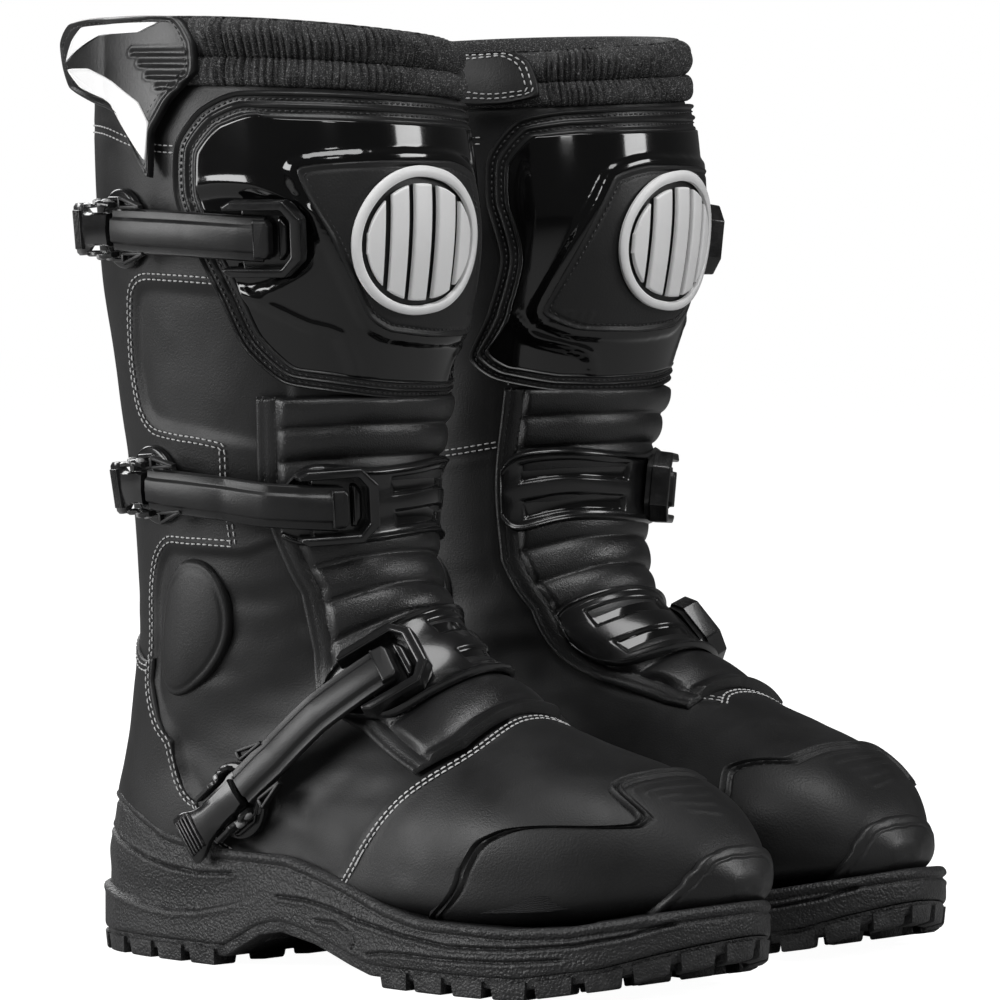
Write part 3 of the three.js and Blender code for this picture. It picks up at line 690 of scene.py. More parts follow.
class Bench:
    """Adds and joins shader nodes in one tree."""

    def __init__(self, tree: bpy.types.NodeTree) -> None:
        """Keeps the tree."""
        self.tree = tree

    def add(self, kind: str, values: Optional[dict] = None, **settings: object) -> bpy.types.Node:
        """A node with settings and input values; a value that is a socket is linked.

        Args:
            kind: Type of the node.
            values: Input names or numbers and what goes into them.
            settings: Attributes of the node.

        Returns:
            The node.
        """
        node = self.tree.nodes.new(kind)
        for key, value in settings.items():
            setattr(node, key, value)
        for key, value in (values or {}).items():
            socket = node.inputs[key]
            if isinstance(value, bpy.types.NodeSocket):
                self.tree.links.new(value, socket)
            else:
                socket.default_value = value
        return node

    def math(self, operation: str, a: object, b: object = 0.0, clamp: bool = False) -> bpy.types.NodeSocket:
        """Result of a math node."""
        return self.add("ShaderNodeMath", {0: a, 1: b}, operation=operation, use_clamp=clamp).outputs[0]

    def mapped(self, value: object, low: float, high: float, to_low: float = 0.0,
               to_high: float = 1.0) -> bpy.types.NodeSocket:
        """A value moved from one range to another and clamped."""
        return self.add("ShaderNodeMapRange", {"Value": value, "From Min": low, "From Max": high,
                                               "To Min": to_low, "To Max": to_high}).outputs[0]

    def mixed(self, factor: object, a: object, b: object) -> bpy.types.NodeSocket:
        """Blend of two colours."""
        node = self.add("ShaderNodeMix", {"Factor": factor}, data_type="RGBA")
        for socket, value in ((node.inputs[6], a), (node.inputs[7], b)):
            if isinstance(value, bpy.types.NodeSocket):
                self.tree.links.new(value, socket)
            else:
                socket.default_value = value
        return node.outputs[2]


class Effects:
    """Node groups that several finishes share: grain, knit with painted glint flecks, rubbed edges and dust."""

    def __init__(self) -> None:
        """Builds every group once."""
        self.grain = self._grain()
        self.knit = self._knit()
        self.rubbed = self._rubbed()
        self.dust = self._dust()

    @staticmethod
    def _start(name: str, inputs: dict[str, float],
               outputs: Sequence[str]) -> tuple[Bench, bpy.types.NodeInputs, bpy.types.NodeOutputs]:
        """An empty group with a vector and named values going in.

        Args:
            name: The group's name.
            inputs: Names and first values of what goes in.
            outputs: Names of what comes out.

        Returns:
            The group's bench, its outgoing and its incoming sockets.
        """
        tree = bpy.data.node_groups.new(name, "ShaderNodeTree")
        tree.interface.new_socket(name="Vector", in_out="INPUT", socket_type="NodeSocketVector")
        for label, value in inputs.items():
            socket = tree.interface.new_socket(name=label, in_out="INPUT", socket_type="NodeSocketFloat")
            socket.default_value = value
        for label in outputs:
            tree.interface.new_socket(name=label, in_out="OUTPUT", socket_type="NodeSocketFloat")
        bench = Bench(tree)
        given = bench.add("NodeGroupInput").outputs
        return bench, bench.add("NodeGroupOutput").inputs, given

    @staticmethod
    def _bent(bench: Bench, vector: bpy.types.NodeSocket, scale: float, amount: float) -> bpy.types.NodeSocket:
        """Places pushed about by noise of some scale and amount."""
        noise = bench.add("ShaderNodeTexNoise", {"Vector": vector, "Scale": scale, "Detail": 2.0})
        push = bench.add("ShaderNodeVectorMath", {0: noise.outputs["Color"], 1: (amount,) * 3}, operation="MULTIPLY")
        return bench.add("ShaderNodeVectorMath", {0: vector, 1: push.outputs[0]}, operation="ADD").outputs[0]

    def _grain(self) -> bpy.types.NodeTree:
        """Pebbled cells with fine pores between them."""
        bench, result, given = self._start("Grain", {"Scale": 600, "Pores": 0.3}, ["Height", "Cells"])
        place = self._bent(bench, given["Vector"], 260.0, 0.0012)
        cells = bench.add("ShaderNodeTexVoronoi", {"Vector": place, "Scale": given["Scale"]}, feature="SMOOTH_F1")
        finer = bench.math("MULTIPLY", given["Scale"], 2.6)
        pores = bench.add("ShaderNodeTexNoise", {"Vector": given["Vector"], "Scale": finer, "Detail": 3.0})
        dome = bench.mapped(cells.outputs["Distance"], 0.05, 0.75, 1.0, 0.0)
        fine = bench.math("MULTIPLY", pores.outputs["Fac"], given["Pores"])
        bench.tree.links.new(bench.math("ADD", dome, fine), result["Height"])
        bench.tree.links.new(dome, result["Cells"])
        return bench.tree

    def _knit(self) -> bpy.types.NodeTree:
        """Crossing rows of loops, and a mask of pale flecks that paint glints of light into a knit's colour."""
        bench, result, given = self._start("Knit", {"Scale": 500}, ["Height", "GlintFlecks"])
        place = self._bent(bench, given["Vector"], 320.0, 0.002)
        rows = bench.add("ShaderNodeTexWave", {"Vector": place, "Scale": given["Scale"], "Distortion": 1.2,
                                               "Detail": 1.0}, bands_direction="Z")
        flecks = bench.add("ShaderNodeTexNoise", {"Vector": place, "Scale": 1900.0, "Detail": 2.0})
        height = bench.math("MULTIPLY", rows.outputs["Fac"], flecks.outputs["Fac"])
        bench.tree.links.new(height, result["Height"])
        # pale flecks: painted glints of light, not strands of another colour
        bench.tree.links.new(bench.mapped(flecks.outputs["Fac"], 0.54, 0.7), result["GlintFlecks"])
        return bench.tree

    def _rubbed(self) -> bpy.types.NodeTree:
        """Mask of outer edges rubbed by use, broken up by noise."""
        bench, result, given = self._start("Rubbed", {"Scale": 120, "Amount": 0.5}, ["Mask"])
        geometry = bench.add("ShaderNodeNewGeometry")
        sharp = bench.mapped(geometry.outputs["Pointiness"], 0.51, 0.58)
        return self._masked(bench, result, given, sharp, (5.0, 0.65, 0.42, 0.62))

    def _dust(self) -> bpy.types.NodeTree:
        """Mask of faint dust and smears, stronger on faces that look up."""
        bench, result, given = self._start("Dust", {"Scale": 45, "Amount": 0.3}, ["Mask"])
        geometry = bench.add("ShaderNodeNewGeometry")
        up = bench.add("ShaderNodeSeparateXYZ", {0: geometry.outputs["Normal"]})
        facing = bench.mapped(up.outputs["Z"], -0.4, 1.0, 0.35, 1.0)
        return self._masked(bench, result, given, facing, (6.0, 0.7, 0.4, 0.75))

    @staticmethod
    def _masked(bench: Bench, result: bpy.types.NodeInputs, given: bpy.types.NodeOutputs,
                where: bpy.types.NodeSocket, cloud: tuple[float, float, float, float]) -> bpy.types.NodeTree:
        """Finishes a mask: where it lies, broken up by a cloud.

        Args:
            bench: The group's bench.
            result: The group's incoming sockets at its end.
            given: The group's outgoing sockets at its start.
            where: How strong the mask is at a place.
            cloud: The noise's detail and roughness, and the range of it that counts.

        Returns:
            The finished group.
        """
        detail, roughness, low, high = cloud
        noise = bench.add("ShaderNodeTexNoise", {"Vector": given["Vector"], "Scale": given["Scale"],
                                                 "Detail": detail, "Roughness": roughness})
        broken = bench.math("MULTIPLY", where, bench.mapped(noise.outputs["Fac"], low, high))
        bench.tree.links.new(bench.math("MULTIPLY", broken, given["Amount"], clamp=True), result["Mask"])
        return bench.tree


def grey(level: float) -> tuple[float, float, float, float]:
    """A neutral colour with a trace of blue."""
    return level, level, level + min(0.0008, level * 0.05), 1.0


@dataclass(frozen=True)
class Finish:
    """One finish: two greys it varies between, its gloss, grain, wear and dust, and on knits pale flecks painted as
    glints.
    """

    name: str
    slot: Slot
    deep: float
    pale: float
    # grey of rubbed edges; on knits, the grey of the pale flecks painted as glints
    worn_and_glint: float = 0.09
    rough: tuple[float, float] = (0.5, 0.62)
    grain: float = 900.0
    pores: float = 0.35
    relief: float = 0.12
    knitted: bool = False
    wear: float = 0.4
    dust: float = 0.25
    clouds: float = 38.0
    coat: float = 0.0
    specular: float = 0.5

    def material(self, effects: Effects) -> bpy.types.Material:
        """The Blender material of this finish.

        Args:
            effects: The shared node groups.

        Returns:
            The material.
        """
        material = bpy.data.materials.new(self.name)
        material.use_nodes = True
        tree = material.node_tree
        tree.nodes.clear()
        bench = Bench(tree)
        place = bench.add("ShaderNodeTexCoord").outputs["Object"]
        clouds = bench.add("ShaderNodeTexNoise", {"Vector": place, "Scale": self.clouds, "Detail": 4.0})
        surface = {"Vector": place, "Scale": self.grain}
        if not self.knitted:
            surface["Pores"] = self.pores
        grain = bench.add("ShaderNodeGroup", surface, node_tree=effects.knit if self.knitted else effects.grain)
        rubbed = bench.add("ShaderNodeGroup", {"Vector": place, "Amount": self.wear}, node_tree=effects.rubbed)
        dust = bench.add("ShaderNodeGroup", {"Vector": place, "Amount": self.dust}, node_tree=effects.dust)
        ground = bench.mixed(bench.mapped(clouds.outputs["Fac"], 0.35, 0.68), grey(self.deep), grey(self.pale))
        # on knits, pale flecks are mixed in here: painted glints standing in for light caught on the folds
        cells_and_glints = grain.outputs["GlintFlecks" if self.knitted else "Cells"]
        ground = bench.mixed(bench.math("MULTIPLY", cells_and_glints, 0.75 if self.knitted else 0.25), ground,
                             grey(self.worn_and_glint if self.knitted else self.pale))
        ground = bench.mixed(rubbed.outputs["Mask"], ground, grey(self.worn_and_glint))
        ground = bench.mixed(dust.outputs["Mask"], ground, grey(DUST_GREY))
        gloss = bench.mapped(clouds.outputs["Fac"], 0.3, 0.7, self.rough[0], self.rough[1])
        gloss = bench.math("ADD", gloss, bench.math("MULTIPLY", dust.outputs["Mask"], 0.25), clamp=True)
        bump = bench.add("ShaderNodeBump", {"Height": grain.outputs["Height"], "Strength": 0.9,
                                            "Distance": self.relief * MM})
        shader = bench.add("ShaderNodeBsdfPrincipled", {
            "Base Color": ground, "Roughness": gloss, "Normal": bump.outputs[0], "Coat Weight": self.coat,
            "Coat Roughness": 0.04, "Specular IOR Level": self.specular})
        out = bench.add("ShaderNodeOutputMaterial")
        tree.links.new(shader.outputs[0], out.inputs[0])
        return material


class Finishes(Enum):
    """Every finish on the boots."""

    LEATHER = Finish("smooth_leather", Slot.LEATHER, 0.0045, 0.008, worn_and_glint=0.035,
                     rough=(0.42, 0.56), grain=1500.0, relief=0.05, wear=0.35, dust=0.05, specular=0.42)
    GRAINED = Finish("grained_leather", Slot.LEATHER, 0.0045, 0.009, worn_and_glint=0.03,
                     rough=(0.3, 0.42), grain=1900.0, relief=0.1, wear=0.25, dust=0.04, specular=0.6)
    CAP = Finish("toe_cover_leather", Slot.LEATHER, 0.0045, 0.008, worn_and_glint=0.03,
                 rough=(0.46, 0.58), grain=1300.0, relief=0.07, wear=0.3, dust=0.06, specular=0.42)
    LINING = Finish("lining_mesh", Slot.LINING, 0.006, 0.014, worn_and_glint=0.03,
                    rough=(0.85, 0.95), grain=420.0, relief=0.3, knitted=True, wear=0.0, dust=0.05, specular=0.3)
    # the cuff's brightest grey, 0.26, colours its flecks: painted glints on the folds, not wear
    KNIT = Finish("cuff_knit", Slot.KNIT, 0.007, 0.018, worn_and_glint=0.26,
                  rough=(0.6, 0.8), grain=520.0, relief=0.25, knitted=True, wear=0.0, dust=0.04, specular=0.5)
    GLOSS = Finish("gloss_plastic", Slot.GLOSS, 0.0022, 0.003, worn_and_glint=0.02,
                   rough=(0.08, 0.13), grain=300.0, relief=0.004, wear=0.12, dust=0.01, coat=0.5, specular=0.4)
    SATIN = Finish("satin_plastic", Slot.PLASTIC, 0.0045, 0.007, worn_and_glint=0.04,
                   rough=(0.17, 0.27), grain=1700.0, relief=0.012, wear=0.45, dust=0.02, coat=0.25)
    STRAP = Finish("strap_plastic", Slot.PLASTIC, 0.0048, 0.008, worn_and_glint=0.035,
                   rough=(0.34, 0.44), grain=1500.0, relief=0.03, wear=0.3, dust=0.03)
    PANEL = Finish("matte_panel", Slot.PLASTIC, 0.0048, 0.0075, worn_and_glint=0.03,
                   rough=(0.4, 0.5), grain=1200.0, relief=0.04, wear=0.2, dust=0.03)
    FRAME = Finish("frame_rubber", Slot.RUBBER, 0.0048, 0.0075, worn_and_glint=0.035,
                   rough=(0.3, 0.42), grain=900.0, relief=0.04, wear=0.25, dust=0.04)
    SOLE = Finish("sole_rubber", Slot.RUBBER, 0.012, 0.020, worn_and_glint=0.07,
                  rough=(0.4, 0.52), grain=1050.0, relief=0.42, wear=0.5, dust=0.12)
    BUMPER = Finish("bumper_rubber", Slot.RUBBER, 0.006, 0.010, worn_and_glint=0.04,
                    rough=(0.36, 0.46), grain=1400.0, relief=0.04, wear=0.3, dust=0.07)
    THREAD = Finish("pale_thread", Slot.LEATHER, 0.42, 0.62, worn_and_glint=0.7,
                    rough=(0.6, 0.75), grain=2600.0, relief=0.1, wear=0.1, dust=0.1)
    BLACK_THREAD = Finish("black_thread", Slot.LEATHER, 0.010, 0.03, worn_and_glint=0.06,
                          rough=(0.35, 0.5), grain=2600.0, relief=0.1, wear=0.2, dust=0.05)
    WHITE = Finish("white_inlay", Slot.WHITE, 0.86, 0.92, worn_and_glint=0.75,
                   rough=(0.35, 0.45), grain=1200.0, relief=0.02, wear=0.2, dust=0.03)
    PIN = Finish("steel_pin", Slot.PLASTIC, 0.20, 0.32, worn_and_glint=0.5,
                 rough=(0.16, 0.26), grain=1500.0, relief=0.02, wear=0.4, dust=0.05, coat=0.4)


class Place(Enum):
    """Which body of a boot a piece moves with."""

    BOOT = "boot"
    STRAP = "strap_arm"
    LEVER = "buckle_lever"


@dataclass
class Pair:
    """Puts each piece on both boots."""

    materials: dict = field(default_factory=dict)
    sides: dict = field(default_factory=dict)
    made: int = 0

    def __post_init__(self) -> None:
        """Makes the finishes and finds both boots."""
        effects = Effects()
        self.materials = {finish: finish.value.material(effects) for finish in Finishes}
        for side, sign in (("right", -1.0), ("left", 1.0)):
            low, high = (np.array(corner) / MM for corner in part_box(f"{side}_midsole"))
            x = high[0] - HALF_SOLE if sign > 0 else low[0] + HALF_SOLE
            self.sides[side] = (sign, np.array([x, high[1] - HEEL_REACH, 0.0]))

    def put(self, name: str, shell: Shell, finishes: Union[Finishes, Sequence[Finishes]], node: str = "",
            place: Place = Place.BOOT, buckle: str = "") -> list[bpy.types.Object]:
        """Makes a piece for each boot and fixes it to its body.

        Args:
            name: Name of the piece without its side.
            shell: Its shape.
            finishes: Its finish, or one for each tint.
            node: The CAD node it stands for, without its side.
            place: The kind of body it moves with.
            buckle: The buckle whose body that is.

        Returns:
            The right and the left piece.
        """
        several = [finishes] if isinstance(finishes, Finishes) else list(finishes)
        out = []
        for side, (sign, shift) in self.sides.items():
            points = (shell.points * [sign, 1, 1] + shift) * MM
            quads, tris = (shell.quads, shell.tris) if sign > 0 else (shell.quads[:, ::-1], shell.tris[:, ::-1])
            mesh = bpy.data.meshes.new(f"{side}_{name}")
            mesh.vertices.add(len(points))
            mesh.vertices.foreach_set("co", points.astype(np.float32).ravel())
            corners = np.concatenate([quads.ravel(), tris.ravel()]).astype(np.int32)
            mesh.loops.add(len(corners))
            mesh.loops.foreach_set("vertex_index", corners)
            starts = np.concatenate([np.arange(len(quads)) * 4, len(quads) * 4 + np.arange(len(tris)) * 3])
            mesh.polygons.add(len(starts))
            mesh.polygons.foreach_set("loop_start", starts.astype(np.int32))
            mesh.polygons.foreach_set("material_index", np.minimum(shell.tint, len(several) - 1).astype(np.int32))
            mesh.update(calc_edges=True)
            mesh.validate()
            mesh.polygons.foreach_set("use_smooth", np.ones(len(mesh.polygons), bool))
            mesh.set_sharp_from_angle(angle=math.radians(48))
            for finish in several:
                mesh.materials.append(self.materials[finish])
            piece = bpy.data.objects.new(f"{side}_{name}", mesh)
            bpy.context.scene.collection.objects.link(piece)
            body = f"{side}_boot" if place is Place.BOOT else f"{side}_{buckle}_{place.value}"
            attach(piece, body)
            if node:
                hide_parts(f"{side}_{node}")
            out.append(piece)
            self.made += 1
        log.info("%s: %d points", name, len(shell.points))
        return out


# ------------------------------------------------------------------ leather
@dataclass
class LeatherUpper:
    """The leather leg and foot with its seams and stitching."""

    columns: int = 352
    row_step: float = 1.3
    thickness: float = 3.0
    recess: float = 1.7
    calf_panel: tuple = (
        (1.45, 50), (1.45, 74), (1.42, 100), (1.5, 107), (1.9, 111), (2.2, 109.5), (2.35, 103), (2.5, 75),
        (2.52, 50))
    quarter: tuple = (
        (3.62, 40), (3.58, 71), (3.4, 101), (3.52, 110), (3.82, 115), (4.62, 115), (5.2, 107), (5.72, 98),
        (7.0, 91), (8.2, 96), (9.42, 100), (9.52, 67), (9.92, 37), (9.7, 12), (6.0, 20))
    upper_edge: tuple = ((1.44, 66), *calf_panel[1:8], (2.87, 73), (3.3, 71.5), (3.46, 71.2))
    lower_edge: tuple = ((3.545, 76), *quarter[2:9], (7.9, 95))
    vamp: tuple = ((9.36, 106), (9.4, 99), (9.52, 67), (9.92, 37), (9.76, 8), (9.8, -8), (10.0, -16))
    inner_line: tuple = (
        (2.0, -57), (2.17, -56), (3.02, -54.5), (4.0, -56), (5.08, -46), (6.5, -42.5), (7.87, -40), (9.03, -35),
        (10.0, -17))
    inner_level: tuple = ((2.72, -57), (2.78, -81), (2.8, -120), (2.8, -178))
    collar_line: tuple = (
        (0.72, 70), (0.7, 95), (0.62, 120), (0.6, 150), (0.6, 180), (0.6, 225), (0.6, 262), (0.6, 292))
    back_line: tuple = tuple((u, 180.0) for u in (0.62, 1.2, 1.9, 2.6, 3.3, 3.88))
    back_sides: tuple = ((2.62, 33), (3.0, 31), (3.5, 29), (3.86, 27))

    def grid(self) -> tuple[Array, Array]:
        """Rows and angles of the outer face, evenly spread."""
        fine = np.linspace(FORM.collar, 15, 1600)
        angles = np.array([0, 60, 90, 120, 150])
        p = FORM.point(fine[:, None], angles[None])
        gone = np.append(0, np.cumsum(np.linalg.norm(np.diff(p, axis=0), axis=-1).max(1)))
        rows = np.interp(np.linspace(0, gone[-1], int(gone[-1] / self.row_step)), gone, fine)
        half = self.columns // 2
        guide = dense_angles(0, 180)
        a = np.zeros((len(rows), self.columns))
        for sign in (1, -1):
            q = FORM.point(rows[:, None], sign * guide[None])
            far = travelled(q, 1)
            for r in range(len(rows)):
                at = np.linspace(0, far[r, -1], half + 1)
                found = np.interp(at, far[r], guide) * sign
                if sign > 0:
                    a[r, :half + 1] = found
                else:
                    a[r, half + 1:] = found[1:-1][::-1] + 360
        return np.repeat(rows[:, None], self.columns, 1), a

    def relief(self, u: Array, a: Array) -> Array:
        """Height of the leather's own shape: recessed panels, seams and soft folds."""
        turn = (a + 180) % 360 - 180
        p = FORM.point(u, a)
        h = 0.35 * soft_noise(p, 26, 3) + 0.16 * soft_noise(p, 9, 5)
        flex = smooth(u, 3.4, 4.4) * (1 - smooth(u, 8.6, 9.6))
        h += flex * 0.75 * soft_noise(p * [1.0, 0.8, 2.4], 17, 9)
        for corners in (self.calf_panel, self.quarter):
            panel = Track.through(corners, closed=True, tension=0.3, step=0.6)
            into = panel.depth(u, turn, p)
            h += ridge(into, -0.8, 1.2, 0.35) - self.recess * smooth(into, -0.7, 1.3)
        for corners, deep in ((self.vamp, 0.7), (self.inner_line, 0.5), (self.inner_level, 0.6),
                              (self.collar_line, 0.6), (self.back_line, 0.6)):
            far = Track.through(corners, step=1.0).distance(p)
            h += ridge(far, 0, 0.8, -deep) + ridge(far, 2.4, 1.4, 0.22)
        return h

    def shell(self) -> Shell:
        """The upper's outer face, top rim and inner face."""
        u, a = self.grid()
        rings = list(FORM.skin(u, a, calmed(self.relief(u, a), 3)))[::-1]
        top_u, top_a = u[0], a[0]
        rings.append(FORM.skin(top_u - 0.012, top_a, -0.4))
        rings.append(FORM.skin(top_u - 0.012, top_a, -self.thickness + 0.4))
        for k in range(0, len(u), 7):
            if u[k, 0] < 13.4:
                rings.append(FORM.skin(u[k], a[k], -self.thickness))
        return lofted(rings)

    @staticmethod
    def over_stay(u: Array, a: Array) -> Array:
        """Height of the edge stitches, higher where they run over the heel stay."""
        return 0.45 + 1.15 * smooth(u, 4.28, 4.42) * (1 - smooth(u, 7.4, 7.6)) * smooth(a, 84, 90)

    def thread(self) -> Shell:
        """All pale stitching of the upper."""
        rows = []
        for corners in (self.upper_edge, self.lower_edge):
            edge = Track.through(corners, tension=0.3, step=0.8)
            rows += [stitches(edge, side, self.over_stay, 2.9, 2.0) for side in (1.9, 4.1)]
        vamp = Track.through(self.vamp)
        rows += [stitches(vamp, side, 0.4, 2.9, 2.2, 0.85) for side in (1.2, 3.3)]
        for corners, sides in ((self.inner_line, (1.6, 3.9)), (self.inner_level, (-1.3, -3.4)),
                               (self.collar_line, (-1.2, 1.4)), (self.back_line, (-1.5, 1.5))):
            seam = Track.through(corners)
            rows += [stitches(seam, side, 0.3, 3.0, 2.1) for side in sides]
        for turn in (1, -1):
            side_seam = Track.through([(u, 180 + turn * a) for u, a in self.back_sides])
            rows.append(stitches(side_seam, 0.0, 0.3, 3.0, 2.1))
        return Shell.join(rows)

    def build(self, pair: Pair) -> None:
        """Makes the upper on both boots."""
        pair.put("leather_upper", self.shell(), Finishes.LEATHER, "upper")
        pair.put("upper_stitching", self.thread(), Finishes.THREAD)


@dataclass
class Collar:
    """The gathered cuff, the lining, the insole and the inner closure flap."""

    folds: int = 78
    cuff_columns: int = 780
    flap: tuple = (
        (0.02, -102), (0.01, -76), (0.02, -54), (0.14, -47), (0.36, -45), (0.41, -58), (0.41, -80), (0.41, -102),
        (0.2, -104))

    def cuff(self) -> Shell:
        """Two padded rolls gathered into folds, with a plain inner face."""
        a = np.linspace(0, 360, self.cuff_columns, endpoint=False)
        rng = np.random.default_rng(11)
        wander = np.interp(a, np.linspace(0, 360, 41), np.append(rng.normal(0, 0.9, 40), 0), period=360)
        fold = np.sin(np.radians(a * self.folds) + wander * 1.6)
        second = np.sin(np.radians(a * self.folds * 0.5) + wander * 2.5 + 1.0)
        under_flap = smooth(a, 250, 257) * (1 - smooth(a, 314, 321))
        under_badge = smooth(a, 72, 80) * (1 - smooth(a, 138, 146))
        pressed = 1 - 0.75 * under_flap - 0.45 * under_badge
        rings = []
        for u in np.linspace(0.42, 0.02, 56):
            upper = np.clip((0.275 - u) / 0.255, 0, 1)
            lower = np.clip((0.42 - u) / 0.145, 0, 1)
            if u < 0.275:
                roll = 3.3 * math.sin(math.pi * min(1, upper)) ** 0.6
            else:
                roll = 2.4 * math.sin(math.pi * lower) ** 0.5
            drift = 1.6 * math.sin(u * 19)
            fine = np.sin(np.radians(a * self.folds) * 2 + wander + drift)
            gather = 0.8 * np.abs(fold) ** 0.7 + second * 0.3 + 0.2 * fine
            strength = 0.55 + 0.45 * (abs(roll) / 3.3)
            lift = roll - 0.3 + gather * 2.5 * strength * pressed
            rings.append(FORM.skin(np.full_like(a, u), a + drift * 0.25, lift))
        for turn in np.linspace(0.15, 1, 8):
            swing = math.pi * turn
            rings.append(FORM.skin(np.full_like(a, 0.02 - 0.035 * math.sin(swing)), a,
                                   -2.9 + 3.6 * math.cos(swing) + fold * 0.3 * (1 - turn)))
        for u in (0.08, 0.16, 0.26, 0.36, 0.42):
            rings.append(FORM.skin(np.full_like(a, u), a, -7.6 + 0.9 * math.sin((u - 0.02) / 0.4 * math.pi)))
        return lofted(rings, closed=True)

    def lining(self) -> Shell:
        """The tube of lining inside the leg, softly quilted."""
        a = np.linspace(0, 360, 168, endpoint=False)
        inner, outer = [], []
        for u in np.linspace(0.44, 4.75, 64):
            quilt = 0.8 * np.sin(np.radians(a * 12)) ** 2 * abs(math.sin(u * 6.0)) ** 0.5
            inner.append(FORM.skin(np.full_like(a, u), a, -6.9 + 0.7 * quilt))
            outer.append(FORM.skin(np.full_like(a, u), a, -3.2))
        return lofted(outer + inner[::-1], closed=True)

    def insole(self) -> Shell:
        """The cupped insole."""
        half = 18
        rings = []
        for f in np.linspace(26, 286, 70):
            lean = 6.5 + 8 * (1 - smooth(np.array(f), 24, 60)) + 10 * smooth(np.array(f), 255, 290)
            low, high = Sole.edges(f)
            x0, x1 = low + lean, high - lean
            z = 37 + curve([(20, 0), (80, 0), (135, -1), (185, -2.5), (230, -2.5), (263, 0), (290, 4)], f)
            s = np.linspace(-1, 1, half * 2 + 1)
            x = (x0 + x1) / 2 + (x1 - x0) / 2 * s
            top = z + 1.6 * np.abs(s) ** 4
            y = np.full_like(x, MID_LENGTH - f)
            rings.append(np.vstack([np.stack([x, y, top], -1), np.stack([x[::-1], y, np.full_like(x, z - 4)], -1)]))
        return lofted(rings)

    def build(self, pair: Pair) -> None:
        """Makes the collar's pieces on both boots."""
        pair.put("gathered_cuff", self.cuff(), Finishes.KNIT, "cuff")
        pair.put("leg_lining", self.lining(), Finishes.LINING, "lining")
        pair.put("insole", self.insole(), Finishes.LINING, "footbed")
        loop = Track.through(self.flap, closed=True, tension=0.25, count=220)

        def face(u: Array, a: Array, far: Array) -> Array:
            """Height of the flap's face."""
            return 4.9 + ridge(far, 1.0, 1.0, 0.45) + 0.3 * soft_noise(FORM.point(u, a), 18, 4)

        pair.put("closure_flap_leather", pad(loop, 3.0, face, 1.1), Finishes.LEATHER, "closure_flap")
        rows = [stitches(loop.inward(d), 0, 5.35, 2.9, 2.0) for d in (2.4, 4.6)]
        pair.put("closure_flap_stitching", Shell.join(rows), Finishes.THREAD)


